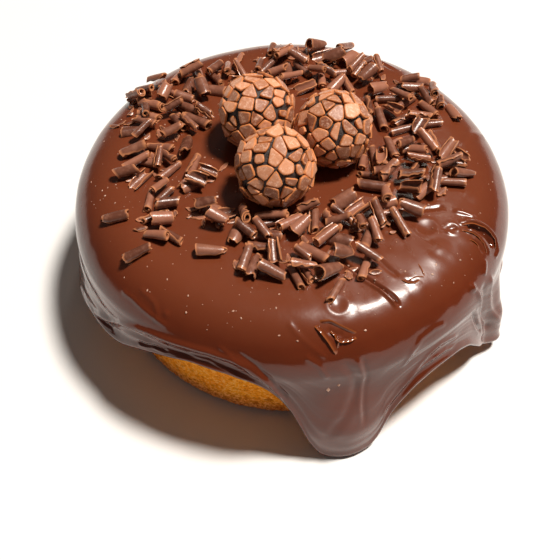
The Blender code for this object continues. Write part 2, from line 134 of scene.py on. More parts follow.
# %% [markdown]
# ## Helpers for every piece
#
# A cake's pieces are all built the same way: work out the points, join them with faces, and give the
# mesh a finish. Some pieces also carry a number at each point, such as how near it is to a broken
# edge, where the thin chocolate is painted lighter: painted light catching and passing through the
# edge. The finish reads that number. What is turned, like the sponge and the coat, is a grid of
# columns with one middle point below and one above. What is scattered, like the curls, is many small
# skins joined into one piece.


# %% Turn points and faces into a piece
def make_piece(name, points, faces, finish, slot, node, smooth_angle=50.0, **numbers):
    """Puts one piece in the scene; numbers are lists with one value for each point."""
    mesh = bpy.data.meshes.new(name)
    mesh.from_pydata([tuple(point) for point in points], [], faces)
    for label, values in numbers.items():
        layer = mesh.attributes.new(label, "FLOAT", "POINT")
        layer.data.foreach_set("value", np.asarray(values, np.float32).ravel())
    tidy = bmesh.new()
    tidy.from_mesh(mesh)
    bmesh.ops.recalc_face_normals(tidy, faces=tidy.faces)
    tidy.to_mesh(mesh)
    tidy.free()
    mesh.shade_smooth()
    mesh.set_sharp_from_angle(angle=math.radians(smooth_angle))
    mesh.materials.append(finish)
    piece = bpy.data.objects.new(name, mesh)
    bpy.context.scene.collection.objects.link(piece)
    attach(piece, "root")
    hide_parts(node)
    print(name, "points:", len(mesh.vertices), "faces:", len(mesh.polygons))


def join_skins(name, skins, finish, slot, node, smooth_angle=50.0):
    """One piece from many small skins, each given as points, faces, edge numbers and a tone."""
    points, faces, rims, tones = [], [], [], []
    for skin, skin_faces, rim, tone in skins:
        first = len(points)
        points += list(skin)
        faces += [[corner + first for corner in face] for face in skin_faces]
        rims += list(rim)
        tones += [tone] * len(rim)
    make_piece(name, points, faces, finish, slot, node, smooth_angle, rim=rims, tone=tones)


def turned_faces(columns, rows):
    """Faces of a closed grid that goes once round; its two middle points are the last ones."""
    middle, faces = columns * rows, []
    for column in range(columns):
        here, beside = column * rows, (column + 1) % columns * rows
        faces.append((middle, here, beside))
        faces.append((middle + 1, beside + rows - 1, here + rows - 1))
        for row in range(rows - 1):
            faces.append((here + row, here + row + 1, beside + row + 1, beside + row))
    return faces


def eased(value):
    """Rises from 0 to 1 with soft ends, for one number or many."""
    value = np.clip(value, 0.0, 1.0)
    return value * value * (3.0 - 2.0 * value)


@np.vectorize
def noise_at(x, y, z):
    """A smooth noise of about -1 to 1 at a place, or at each place of whole arrays."""
    return noise.noise(Vector((x, y, z)))


# %% [markdown]
# A finish is a small network of nodes round one Principled shader. These helpers add the nodes
# that every finish here uses: a number read from the mesh, a noise, a blend of two colours and a
# relief that only the light sees.


# %% Start a finish and add to it
class Finish:
    """A material that reads places in metres on the piece itself."""

    def __init__(self, name, roughness):
        self.material = bpy.data.materials.new(name)
        self.material.use_nodes = True
        self.tree = self.material.node_tree
        self.shader = self.tree.nodes["Principled BSDF"]
        self.set("Roughness", roughness)
        self.place = self.add("ShaderNodeTexCoord").outputs["Object"]

    def add(self, kind, **settings):
        node = self.tree.nodes.new(kind)
        for label, value in settings.items():
            setattr(node, label, value)
        return node

    def join(self, source, target):
        self.tree.links.new(source, target)

    def noise(self, size, detail=3.0, roughness=0.55):
        """A noise whose blotches are about this size in metres."""
        node = self.add("ShaderNodeTexNoise")
        node.inputs["Scale"].default_value = 1.0 / size
        node.inputs["Detail"].default_value = detail
        node.inputs["Roughness"].default_value = roughness
        self.join(self.place, node.inputs["Vector"])
        return node.outputs["Fac"]

    def number(self, label):
        """The number of this name that the mesh carries."""
        return self.add("ShaderNodeAttribute", attribute_name=label).outputs["Fac"]

    def height(self):
        """Height above the floor, in metres."""
        node = self.add("ShaderNodeSeparateXYZ")
        self.join(self.place, node.inputs[0])
        return node.outputs["Z"]

    def plus(self, base, value, times):
        """One number with some of another added to it."""
        node = self.add("ShaderNodeMath", operation="MULTIPLY_ADD")
        self.join(value, node.inputs[0])
        node.inputs[1].default_value = times
        self.join(base, node.inputs[2])
        return node.outputs[0]

    def stretch(self, value, low, high, new_low=0.0, new_high=1.0):
        """Spreads a number from one range over another."""
        node = self.add("ShaderNodeMapRange")
        self.join(value, node.inputs["Value"])
        for socket, amount in zip(node.inputs[1:5], (low, high, new_low, new_high)):
            socket.default_value = amount
        return node.outputs["Result"]

    def blend(self, share, first, second):
        """One colour passing into another; each is a colour or the output of a node."""
        node = self.add("ShaderNodeMix", data_type="RGBA")
        self.join(share, node.inputs[0])
        for socket, colour in ((node.inputs[6], first), (node.inputs[7], second)):
            if isinstance(colour, tuple):
                socket.default_value = (*colour, 1.0)
            else:
                self.join(colour, socket)
        return node.outputs[2]

    def colour(self, source):
        self.join(source, self.shader.inputs["Base Color"])

    def set(self, label, amount):
        self.shader.inputs[label].default_value = amount

    def relief(self, height, depth):
        """Fine unevenness, this deep in metres."""
        node = self.add("ShaderNodeBump")
        node.inputs["Distance"].default_value = depth
        node.inputs["Strength"].default_value = 1.0
        self.join(height, node.inputs["Height"])
        self.join(node.outputs["Normal"], self.shader.inputs["Normal"])


# %% [markdown]
# ## The sponge
#
# Under the raised edge of the ganache a strip of sponge shows: golden orange, matt and grainy, and
# browner and drier round its foot where it stood in the tin. Its orange is painted brighter and fuller
# than its own, a painted warm bounce light. A carrot sponge has crumbs of about a millimetre, so noise
# in the colour alone would look painted. Here the crumb is real relief: the round body is a fine grid,
# and each point is pushed in or out. The grains finer than the grid are a relief that only the light
# sees. The same noise paints the tip of each grain paler, a painted highlight, and the hollow between
# grains browner, a painted shade. Each pore is painted darker, a painted shade in the hole.

# %% Size of the sponge
SPONGE_BASE_RADIUS = 68.0 * MM
SPONGE_TOP_RADIUS = 73.2 * MM
SPONGE_HEIGHT = 56.0 * MM
SPONGE_BASE_EDGE = 2.6 * MM
SPONGE_TOP_EDGE = 8.0 * MM
SPONGE_EDGE_HEIGHTS = tuple(SPONGE_HEIGHT - SPONGE_TOP_EDGE * down for down in (1.0, 0.38, 0.08))
SPONGE_CRUMB = 0.35 * MM
GAP = 0.3 * MM


def sponge_radius(height):
    """Radius of the sponge's side, with its rounded upper edge."""
    side = SPONGE_BASE_RADIUS + (SPONGE_TOP_RADIUS - SPONGE_BASE_RADIUS) * height / SPONGE_HEIGHT
    over = min(max(height - (SPONGE_HEIGHT - SPONGE_TOP_EDGE), 0.0), SPONGE_TOP_EDGE)
    return side - SPONGE_TOP_EDGE + math.sqrt(SPONGE_TOP_EDGE**2 - over**2)


# %% Colour of the sponge
# The sponge's own golden orange, painted brighter and fuller as a painted warm bounce light.
BOUNCE_LIT_GOLD, BOUNCE_LIT_DEEP_GOLD = (1.0, 0.36, 0.010), (0.96, 0.28, 0.006)
# The tip of each grain is painted paler, a painted highlight, and each hollow browner, a painted
# shade, on the browned foot as well.
GRAIN_HIGHLIGHT, GRAIN_SHADE = (1.0, 0.52, 0.13), (0.66, 0.140, 0.003)
BROWNED_HIGHLIGHT, BROWNED_SHADE = (0.96, 0.36, 0.12), (0.34, 0.052, 0.008)
# Each pore is painted darker: a painted shade in the hole.
PORE_SHADE = (0.46, 0.110, 0.004)


def sponge_finish():
    sponge = Finish("baked_carrot_sponge", 0.9)
    sponge.set("Specular IOR Level", 0.15)
    grains = sponge.noise(0.0013, detail=4.0, roughness=0.75)
    patches = sponge.noise(0.009)
    # Golden base: the sponge's own colour with a painted warm bounce light.
    golden = sponge.blend(sponge.stretch(patches, 0.35, 0.7), BOUNCE_LIT_GOLD, BOUNCE_LIT_DEEP_GOLD)
    # Painted highlight on the tip of each grain and painted shade in the hollow between grains.
    tip_highlight = sponge.stretch(grains, 0.52, 0.60, 0.0, 0.85)
    hollow_shade = sponge.stretch(grains, 0.47, 0.38, 0.0, 0.85)
    crumb = sponge.blend(hollow_shade, sponge.blend(tip_highlight, golden, GRAIN_HIGHLIGHT), GRAIN_SHADE)
    browned = sponge.blend(sponge.stretch(grains, 0.44, 0.58), BROWNED_SHADE, BROWNED_HIGHLIGHT)
    foot = sponge.stretch(sponge.plus(sponge.height(), patches, 0.012), 0.007, 0.018, 0.9, 0.0)
    # Painted shade: each pore is darkened.
    pore_shade = sponge.stretch(sponge.number("pore"), 0.0, 1.0, 0.0, 0.6)
    sponge.colour(sponge.blend(pore_shade, sponge.blend(foot, crumb, browned), PORE_SHADE))
    sponge.relief(grains, 0.0005)
    return sponge.material


# %% Bake the sponge
SPONGE_COLUMNS = 760
SPONGE_ROWS = 112
# Rounding of its foot: (share of the edge inwards, share of the edge upwards).
SPONGE_FOOT = ((1.0, 0.0), (0.55, 0.10), (0.29, 0.29), (0.1, 0.55))
# Waves of the crumb's noises in a metre, and the noise value above which it is a pore.
CRUMB_COARSE, CRUMB_FINE, CRUMB_FINEST = 260.0, 780.0, 1500.0
PORE_WAVES, PORE_FROM = 520.0, 0.3
PORE_SHIFT = Vector((9.0, 4.0, 2.0))


def crumb_depth(point):
    """How far the crumb stands out, and how deep in a pore it is, at a place."""
    coarse = noise.noise(point * CRUMB_COARSE)
    fine = noise.noise(point * CRUMB_FINE) + 0.7 * noise.noise(point * CRUMB_FINEST)
    hole = max(0.0, noise.noise(point * PORE_WAVES + PORE_SHIFT) - PORE_FROM)
    return (coarse * 0.24 + fine * 0.30 - hole * 1.6) * MM, min(hole * 3.0, 1.0)


def sponge_profile():
    """Rows (radius, height) from the foot to the upper edge."""
    edge = SPONGE_BASE_EDGE
    foot = [(SPONGE_BASE_RADIUS - edge * inwards, edge * up) for inwards, up in SPONGE_FOOT]
    side = np.linspace(edge, SPONGE_EDGE_HEIGHTS[0], SPONGE_ROWS)
    heights = [*side, *SPONGE_EDGE_HEIGHTS[1:], SPONGE_HEIGHT]
    return foot + [(sponge_radius(height), height) for height in heights]


def bake_sponge():
    profile = sponge_profile()
    points, pore_shade = [], []
    for column in range(SPONGE_COLUMNS):
        turn = math.tau * column / SPONGE_COLUMNS
        out = Vector((math.cos(turn), math.sin(turn), 0.0))
        for radius, height in profile:
            place = out * radius + Vector((0.0, 0.0, height))
            push, pore = crumb_depth(place)
            if height <= 0.0 or height > SPONGE_EDGE_HEIGHTS[0]:
                push = 0.0
            points.append(place + out * min(push, SPONGE_CRUMB))
            pore_shade.append(pore)
    points += [Vector((0.0, 0.0, 0.0)), Vector((0.0, 0.0, SPONGE_HEIGHT))]
    pore_shade += [0.0, 0.0]
    faces = turned_faces(SPONGE_COLUMNS, len(profile))
    finish = sponge_finish()
    make_piece("sponge_crumb", points, faces, finish, "sponge", "carrot_sponge", 180.0, pore=pore_shade)


bake_sponge()

# %% [markdown]
# ## The shape of the ganache
#
# Poured ganache is level on top, bends over a wide round shoulder and hangs down the side. Its
# lower edge, the hem, rises and falls round the cake: down to the floor in the drips, and up to
# the shoulder on the left of the front. The hem is a smooth line through a few heights, so it can
# be moved at one bearing without touching the rest. Bearings are degrees from +X towards +Y.

# %% Size of the coat and its hem
CAKE_RADIUS = 80.0 * MM
TOP_HEIGHT = 60.0 * MM
SHOULDER_WIDTH = 20.0 * MM
SHOULDER_DROP = 18.0 * MM
RIM_HEIGHT = TOP_HEIGHT - SHOULDER_DROP
FOOT_FLARE = 3.2 * MM
FLARE_END = 12.0 * MM
COAT_THICKNESS = 5.2 * MM
HEM_BEAD = 1.1 * MM
HEM_BEAD_HEIGHT = 5.0 * MM
HEM_LIP = 2.0 * MM
HEM_WALL_LEAST = 3 * MM
FLOW_WAVES = 0.45 * MM
WAVES_ROUND = 3.2
WAVES_UPWARDS = 0.035 / MM

HEM = (
    (0, 9), (10, 12), (19, 6), (28, 14), (40, 16), (50, 8), (57, 0), (63, 2), (72, 15), (84, 18),
    (95, 10), (103, 4), (112, 12), (125, 17), (137, 14), (146, 3), (152, 0), (158, 5), (168, 14),
    (180, 11), (190, 10), (197, 16), (203, 19.5), (210, 22.5), (216, 24), (222, 26.5), (230, 33),
    (238, 38.5), (247, 42.3), (254, 42), (259, 40.3), (263, 37.5), (266.5, 33), (269.5, 26),
    (272, 17), (274.5, 7), (277, 1), (279, 0), (288, 0), (290.5, 3), (293, 12), (297, 19.5),
    (302, 24.5), (308, 26.5), (314, 26), (319, 23), (323, 17), (327, 10), (331, 5.5), (335, 3.5),
    (338, 5.5), (344, 13), (352, 13),
)  # fmt: skip

# Drips, and one place drawn in: (degrees, half-width in degrees, bulge in mm, thickening in mm).
DRIPS = (
    (283, 13, 4.0, 6.5),
    (335, 6.5, 4.8, 3.0),
    (343, 13, -2.8, -1.0),
    (57, 7, 2.4, 3.0),
    (103, 6, 1.6, 1.5),
    (152, 8, 2.6, 3.0),
    (20, 6, 1.4, 1.0),
)


def hem_slope(number):
    """Slope of the hem at one of its points: none at a crest or a foot, so it never overshoots."""
    rises = []
    for first in (number - 1, number):
        here, there = HEM[first % len(HEM)], HEM[(first + 1) % len(HEM)]
        rises.append((there[1] - here[1]) / ((there[0] - here[0]) % 360.0))
    if rises[0] * rises[1] <= 0.0:
        return 0.0
    return 2.0 * rises[0] * rises[1] / (rises[0] + rises[1])


def hem_height(bearing):
    """Height of the coat's lower edge at a bearing, on a smooth line through HEM."""
    bearing %= 360.0
    after = next((i for i, (at, _) in enumerate(HEM) if at > bearing), len(HEM))
    (start, low), (end, high) = HEM[after - 1], HEM[after % len(HEM)]
    span = (end - start) % 360.0
    share = (bearing - start) % 360.0 / span
    leave = share * (1.0 - share) ** 2 * span * hem_slope(after - 1)
    arrive = share**2 * (1.0 - share) * span * hem_slope(after)
    return (low + (high - low) * float(eased(share)) + leave - arrive) * MM


def degrees_apart(first, second):
    """Degrees from the second bearing to the first, the short way round."""
    return (first - second + 180.0) % 360.0 - 180.0


def drips_at(bearings, column):
    """Sum over the drips of their bulge (column 2) or thickening (column 3) at each bearing."""
    return sum(
        drip[column] * MM * eased(1.0 - abs(degrees_apart(bearings, drip[0])) / drip[1])
        for drip in DRIPS
    )


print("hem in mm:", [round(hem_height(bearing) / MM) for bearing in range(0, 360, 30)])

# %% [markdown]
# ## Marks in the ganache
#
# Nothing poured is perfect, and the marks are what make it look real: creases where a skin formed
# and was dragged, a torn flap, a burst bubble, and folds where one sheet ran over another. Each
# mark is a stroke on the unrolled surface, given as (bearing, millimetres from the edge of the
# flat middle, measured down over the shoulder). A ridge stands out, a groove sinks in, a crease is
# a groove with a ridge beside it, and a ledge is a ridge with a broad hollow below it.

# %% The strokes and dents
UNROLL_START = 42.0 * MM

STROKES = (
    # kind, height and half-width in mm, then the points of the stroke
    ("crease", 1.4, 0.66, ((289.6, 4), (291.2, 8.4), (292.8, 11.6), (295.6, 16.9), (297.2, 20.6),
        (298.6, 24.7), (299.2, 29))),
    ("groove", 0.4, 0.9, ((302.2, 8), (302.4, 10), (302.8, 15.6), (304, 19.5))),
    ("groove", 0.35, 0.9, ((278.4, 29.2), (280.4, 31.2), (282.6, 31.4))),
    ("crease", 0.16, 0.6, ((304.6, 21.4), (306.7, 23.4), (308.6, 23.6))),
    ("ridge", 0.22, 0.9, ((268.4, 26), (270.2, 28.8), (272.2, 31.6), (275.4, 35.4), (278, 38.5))),
    # the broad drip: a ridge down its middle and a fold round its left half
    ("crease", 0.38, 1.0, ((286.2, 40), (286.6, 43.8), (287.4, 50), (286.8, 56), (286.4, 62.5),
        (286.7, 73))),
    ("groove", 0.42, 1.5, ((281, 39.5), (283.6, 45.6), (284.8, 49.4), (285, 53), (284.2, 58),
        (282, 65.6), (279.6, 70.6), (278, 77))),
    ("ridge", 0.3, 0.8, ((272.6, 37), (275.8, 40.6), (278.2, 47))),
    # sheets that ran from the shoulder towards the drips, on the right
    ("ridge", 0.35, 1.0, ((296.4, 53), (299.2, 45), (302, 41.9), (306, 41), (310, 42))),
    ("ledge", 0.4, 1.0, ((294, 66), (299.2, 58.8), (302.4, 54.4), (305.2, 51.6), (308, 50.6),
        (311.2, 51.9), (315, 55))),
    ("ledge", 0.45, 0.9, ((291, 75), (292.5, 69.4), (296, 64.4), (299.2, 59.4), (302.4, 57.2),
        (305.2, 56.3), (310, 56.9), (315, 60))),
    ("ridge", 0.5, 0.9, ((319.8, 36), (321.4, 40), (323, 46), (324.7, 56), (326.5, 66))),
    ("groove", 0.6, 0.7, ((320.2, 49), (321.7, 54.4), (323.3, 61.3), (326, 69))),
    ("groove", 0.8, 1.8, ((324.3, 40.5), (325.3, 46.9), (326, 53), (326.6, 61.3), (328.4, 67.5),
        (331, 74))),
    ("ridge", 0.7, 1.3, ((328, 41), (329, 47), (329.2, 53), (330, 61), (331.8, 68.8), (334, 76))),
    ("ridge", 0.6, 1.0, ((326, 38.8), (327.4, 37.4), (329, 35))),
    # the long flap on the right of the shoulder
    ("groove", 1.5, 1.1, ((334.6, 23.5), (335.6, 28), (335.4, 31.5), (334.6, 36.5))),
    ("ridge", 0.8, 0.7, ((334.4, 22), (336.6, 25), (337.6, 30), (337.2, 35.5), (335.4, 39.6),
        (332.8, 39.5))),
    ("ridge", 0.6, 0.6, ((332.4, 23), (333.2, 27.5), (332.6, 32), (331.6, 37))),
    ("groove", 0.6, 0.6, ((330.8, 27.5), (330.9, 30.5), (330.2, 33.5))),
    ("crease", 0.5, 0.7, ((328.5, 18), (330.3, 19.4), (332.3, 21.6))),
    ("ridge", 0.6, 0.7, ((333.6, 21), (335, 23), (337.4, 23.4))),
    ("ridge", 0.6, 0.8, ((337.6, 18), (338.2, 21), (338.6, 26))),
    ("groove", 0.4, 0.9, ((333, 6), (336, 11), (338.5, 14))),
    # the ledge that rolls along the raised hem, on the left
    ("ledge", 1.0, 1.1, ((205, 68), (210, 63.8), (214.5, 59.4), (220, 54.4), (224, 50), (227, 47.2),
        (230, 44.7), (234, 43), (238, 42), (244, 40.8), (250, 40), (255, 40.4), (259, 42),
        (262.5, 45.5), (265, 49.6), (267, 55), (269.6, 62), (272, 71))),
    ("crease", 0.55, 0.55, ((229.3, 53.2), (232.5, 51), (235, 48.9), (239.3, 47.2))),
    ("crease", 0.4, 0.5, ((210, 63.9), (215, 62.2), (219, 60))),
    ("ridge", 0.35, 0.7, ((251.5, 36.8), (255.5, 39.2), (258.6, 42.2), (262, 47))),
    ("crease", 0.35, 0.8, ((256, 37), (261.5, 41.3), (264.5, 45.6), (266.8, 51), (269, 57))),
    ("ridge", 0.4, 0.6, ((244, 44.2), (250, 43.4), (255, 45.2), (259, 48.2), (263, 52), (267, 56.5))),
    ("ridge", 0.3, 0.8, ((226, 31.6), (230, 31.9), (232.5, 32.6), (234.5, 35), (235, 38))),
    ("ridge", 0.35, 0.9, ((222, 36.4), (226, 35.8), (232, 36.6), (239, 37.4))),
    # on the far right and behind, where bare patches of the shoulder show between the curls
    ("ridge", 0.5, 1.2, ((20, 22), (30, 25), (38, 22))),
    ("crease", 0.4, 1.0, ((52, 24), (60, 27), (70, 25))),
    ("ridge", 0.5, 1.3, ((8, 20), (14, 27), (16, 36))),
    ("groove", 0.5, 1.5, ((95, 40), (99, 52), (102, 66))),
    ("ridge", 0.5, 1.5, ((140, 38), (147, 52), (152, 66))),
)  # fmt: skip

DENTS = (
    # bearing, distance down, radius, depth and rim in mm
    (282.8, 21.6, 3.3, 0.5, 0.12),
    (236.8, 33.6, 1.6, -0.35, 0.0),
    (326.5, 12.5, 3.5, 0.35, 0.2),
    (322.0, 20.5, 4.5, -0.4, 0.0),
    (330.5, 19.8, 2.2, 0.3, 0.2),
    (309.0, 14.5, 7.0, -0.35, 0.0),
    (292.0, 20.0, 6.0, 0.30, 0.0),
    (347.0, 23.5, 5.0, -0.35, 0.0),
    (24.0, 20.0, 4.0, -0.4, 0.0),
    (45.0, 24.0, 5.0, -0.5, 0.0),
    (320.5, 38.0, 2.5, -0.7, 0.0),
)
print("strokes:", len(STROKES), "dents:", len(DENTS))


# %% [markdown]
# For each point of the coat the stroke's nearest place is found, and the height of the mark
# follows from the distance to it. Ends of a stroke fade out, as a real crease does.


# %% Height of the marks at any place of the coat
# Only points this near to a stroke are looked at: in mm up and down, in degrees to the sides.
STROKE_MARGIN_DOWN = 8.0
STROKE_MARGIN_ROUND = 12.0
STROKE_LEAST_RADIUS = 20.0
STROKE_ENDS = 9.0  # each end fades out over a ninth of the stroke


def stroke_relief(kind, height, width, path, bearing, down, radius):
    """Height of one stroke at each point; bearing in degrees, down and radius in mm."""
    path = np.array(path, float)
    close = down > path[:, 1].min() - STROKE_MARGIN_DOWN
    close &= down < path[:, 1].max() + STROKE_MARGIN_DOWN
    reach = np.ptp(path[:, 0]) / 2 + STROKE_MARGIN_ROUND
    close &= abs(degrees_apart(bearing, path[:, 0].mean())) < reach
    relief = np.zeros_like(down)
    if not close.any():
        return relief
    at, low = bearing[close], down[close]
    out = np.maximum(radius[close], STROKE_LEAST_RADIUS)
    across = [np.radians(degrees_apart(node[0], at)) * out for node in path]
    along = [node[1] - low for node in path]
    best = np.full(at.shape, 1e9)
    side, share = np.zeros_like(best), np.zeros_like(best)
    for number in range(len(path) - 1):
        run_x, run_y = across[number + 1] - across[number], along[number + 1] - along[number]
        length = run_x**2 + run_y**2
        step = np.clip(-(across[number] * run_x + along[number] * run_y) / length, 0.0, 1.0)
        gap_x, gap_y = across[number] + step * run_x, along[number] + step * run_y
        gap = np.hypot(gap_x, gap_y)
        nearer = gap < best
        best = np.where(nearer, gap, best)
        side = np.where(nearer, np.sign(run_x * gap_y - run_y * gap_x), side)
        share = np.where(nearer, (number + step) / (len(path) - 1), share)
    fade = eased(share * STROKE_ENDS) * eased((1.0 - share) * STROKE_ENDS)
    hill = np.exp(-((best / width) ** 2))
    signed = best * side
    if kind == "ridge":
        form = hill
    elif kind == "groove":
        form = 0.3 * np.exp(-(((best - 2.0 * width) / width) ** 2)) - hill
    elif kind == "crease":
        form = 0.7 * np.exp(-(((signed + 1.5 * width) / width) ** 2)) - hill
    else:
        form = hill - 0.8 * np.exp(-(((signed + 3.2 * width) / (1.8 * width)) ** 2))
    relief[close] = height * fade * form
    return relief


def dent_relief(at, low, size, depth, rim, bearing, down, radius):
    """Height of one dent at each point; it is a bump where its depth is below zero."""
    apart = np.hypot(np.radians(degrees_apart(bearing, at)) * radius, down - low) / size
    bowl = np.where(apart < 1.0, (1.0 - np.minimum(apart, 1.0) ** 2) ** 2, 0.0)
    return rim * np.exp(-(((apart - 1.1) / 0.25) ** 2)) - depth * bowl


# %% [markdown]
# ## Pouring the coat
#
# The coat is one closed skin. For every bearing there is a cross-section: out over the flat top,
# round the shoulder, down the side, round the thick lip and back up along the sponge. Joining the
# sections column by column gives the whole coat, with no seam to hide. The front has narrower
# columns, because all the fine marks are there.

# %% Cross-sections of the coat
LEFT_COLUMNS = np.arange(176.0, 262.0, 0.5)
FRONT_COLUMNS = np.arange(262.0, 346.0, 0.3)
RIGHT_COLUMNS = np.arange(346.0, 366.0, 0.5)
BACK_COLUMNS = np.arange(366.0, 536.0, 1.3)
BEARINGS = np.concatenate([LEFT_COLUMNS, FRONT_COLUMNS, RIGHT_COLUMNS, BACK_COLUMNS]) % 360.0
TOP_ROWS = np.concatenate([np.linspace(3.0, 40.0, 12), np.arange(41.0, 59.6, 0.75)]) * MM
SHOULDER_ROWS = 50
WALL_ROWS = 46
LIP_ROWS = 9

slopes = np.linspace(math.pi / 2, 0.0, 400)
arc_radii = CAKE_RADIUS - SHOULDER_WIDTH * (1.0 - np.cos(slopes))
arc_heights = RIM_HEIGHT + SHOULDER_DROP * np.sin(slopes)
arc_steps = np.hypot(np.diff(arc_radii), np.diff(arc_heights))
ARC_LENGTHS = np.concatenate([[0.0], np.cumsum(arc_steps)])
SHOULDER_LENGTH = ARC_LENGTHS[-1]
FLAT_LENGTH = CAKE_RADIUS - SHOULDER_WIDTH - UNROLL_START


def way_down(radius, height):
    """Distance along the surface from the edge of the flat middle, in metres."""
    if height >= TOP_HEIGHT - 1e-7:
        return radius - UNROLL_START
    if height >= RIM_HEIGHT:
        rise = (height - RIM_HEIGHT) / SHOULDER_DROP
        return FLAT_LENGTH + float(np.interp(-math.asin(rise), -slopes, ARC_LENGTHS))
    return FLAT_LENGTH + SHOULDER_LENGTH + RIM_HEIGHT - height


def outer_section(hem, bulge):
    """Rows (radius, height, way down) over the top and down the side, without the marks."""
    lip = hem + HEM_LIP
    wall_top = max(RIM_HEIGHT, lip + HEM_WALL_LEAST)
    last_slope = math.asin((wall_top - RIM_HEIGHT) / SHOULDER_DROP)
    rows = [(radius, TOP_HEIGHT) for radius in TOP_ROWS]
    for row in range(SHOULDER_ROWS):
        slope = math.pi / 2 + (last_slope - math.pi / 2) * row / SHOULDER_ROWS
        radius = CAKE_RADIUS - SHOULDER_WIDTH * (1.0 - math.cos(slope))
        rows.append((radius, RIM_HEIGHT + SHOULDER_DROP * math.sin(slope)))
    for row in range(WALL_ROWS + 1):
        height = wall_top + (lip - wall_top) * row / WALL_ROWS
        rows.append((wall_radius(height, hem, bulge), height))
    return [(radius, height, way_down(radius, height)) for radius, height in rows]


def wall_radius(height, hem, bulge):
    """Radius of the coat's side at a height, where its hem and its drips are known."""
    bead = float(eased(1.0 - (height - hem) / HEM_BEAD_HEIGHT)) * HEM_BEAD
    if height > RIM_HEIGHT:
        rise = min((height - RIM_HEIGHT) / SHOULDER_DROP, 1.0)
        return CAKE_RADIUS - SHOULDER_WIDTH * (1.0 - math.sqrt(1.0 - rise * rise)) + bead
    fall = float(eased((RIM_HEIGHT - height) / (RIM_HEIGHT - FLARE_END)))
    return CAKE_RADIUS + (FOOT_FLARE + bulge) * fall + bead


hems = np.array([hem_height(bearing) for bearing in BEARINGS])
bulges = drips_at(BEARINGS, 2)
thicknesses = COAT_THICKNESS + drips_at(BEARINGS, 3)
outer = np.array([outer_section(hem, bulge) for hem, bulge in zip(hems, bulges)])
print("columns and rows of the outside:", outer.shape[:2])

# %% [markdown]
# The side also froze with long streaks, which follow the hem: each runs level over an arch and
# turns down into the drips beside it. A noise does this if it is read along "share of the way from
# hem to shoulder" instead of along the height.


# %% Add streaks, waves and marks to the outside
SWELL, SWELL_DEPTH = 38.0, 0.28 * MM
# Lumps as (waves per metre, depth), in the still wet part of the skin round this bearing.
LUMPS = ((85.0, 1.0 * MM), (190.0, 0.40 * MM))
LUMPY_BEARING = 314.0
LUMPY_SPREAD = 46.0
LUMPY_FROM = 44.0 * MM
LUMPY_FULL = 52.0 * MM
LUMPY_ELSEWHERE = 0.12
# Streaks as (waves down, waves in a degree, layer of the noise, depth in mm).
STREAKS = ((7.0, 0.035, 3.0, 0.45), (22.0, 0.05, 8.0, 0.09))
STREAK_TOP = 54.0 * MM
STREAK_FADE = 14.0 * MM
CALM_MIDDLE = 20.0 * MM
CALM_HEM = 3.0 * MM


def coat_relief():
    columns, rows = outer.shape[:2]
    bearing = np.repeat(BEARINGS[:, None], rows, 1)
    hem = np.repeat(hems[:, None], rows, 1)
    radius, height, down = outer[:, :, 0], outer[:, :, 1], outer[:, :, 2]
    east, north = np.cos(np.radians(bearing)), np.sin(np.radians(bearing))
    waves = noise_at(east * WAVES_ROUND, north * WAVES_ROUND, height * WAVES_UPWARDS)
    relief = waves * FLOW_WAVES * eased((RIM_HEIGHT - height) / (RIM_HEIGHT - FLARE_END))
    spot = np.array([east * radius, north * radius, height])
    relief += noise_at(*spot * SWELL) * SWELL_DEPTH
    lumpy = eased(1.0 - abs(degrees_apart(bearing, LUMPY_BEARING)) / LUMPY_SPREAD)
    lumpy = lumpy * eased((height - LUMPY_FROM) / (LUMPY_FULL - LUMPY_FROM))
    lumpy = LUMPY_ELSEWHERE + 0.34 * lumpy
    for pace, depth in LUMPS:
        relief += noise_at(*spot * pace) * lumpy * depth
    run = (height - hem) / (STREAK_TOP - hem)
    fade = eased((STREAK_TOP - height) / STREAK_FADE) * MM
    for down_pace, round_pace, layer, depth in STREAKS:
        relief += noise_at(run * down_pace, bearing * round_pace, layer) * depth * fade
    flat = [part.ravel() for part in (bearing, down / MM, radius / MM)]
    marks = np.zeros(flat[0].shape)
    for kind, size, width, path in STROKES:
        marks += stroke_relief(kind, size, width, path, *flat)
    for dent in DENTS:
        marks += dent_relief(*dent, *flat)
    relief += marks.reshape(columns, rows) * MM
    from_middle = eased((radius - CALM_MIDDLE) / CALM_MIDDLE)
    from_hem = eased((height - hem - HEM_LIP * 0.5) / CALM_HEM)
    return relief * np.where(down < 0.0, from_middle, 1.0) * from_hem


relief = coat_relief()
slope_out = np.gradient(outer[:, :, 0], axis=1)
slope_up = np.gradient(outer[:, :, 1], axis=1)
steepness = np.hypot(slope_out, slope_up)
shifted = outer[:, :, :2].copy()
shifted[:, :, 0] += -slope_up / steepness * relief
shifted[:, :, 1] += slope_out / steepness * relief
print("marks reach from", round(relief.min() / MM, 2), "to", round(relief.max() / MM, 2), "mm")


# %% [markdown]
# ## Gloss and colour of the ganache
#
# Ganache is cream and chocolate. Its own colour is a warm dark brown, and the gloss is a thin film of
# fat on top. The top had begun to set and mirrors softly, while the side is smoother and mirrors more
# sharply. The top's colour is painted paler and greyer than the body, a painted sheen of the light
# from above. On the right of the front the skin has a streaky haze, as a palette knife leaves on
# setting ganache. Each point of the coat carries a number that says how hazy it is there. A little
# light passes through thin edges, which turns them red-brown.


# %% Finish of the ganache
CLEAR_BROWN, CLOUDY_BROWN = (0.094, 0.0160, 0.0046), (0.122, 0.0205, 0.0058)
# Painted sheen: the colour that makes the top paler and greyer.
TOP_SHEEN_BROWN = (0.158, 0.038, 0.0145)


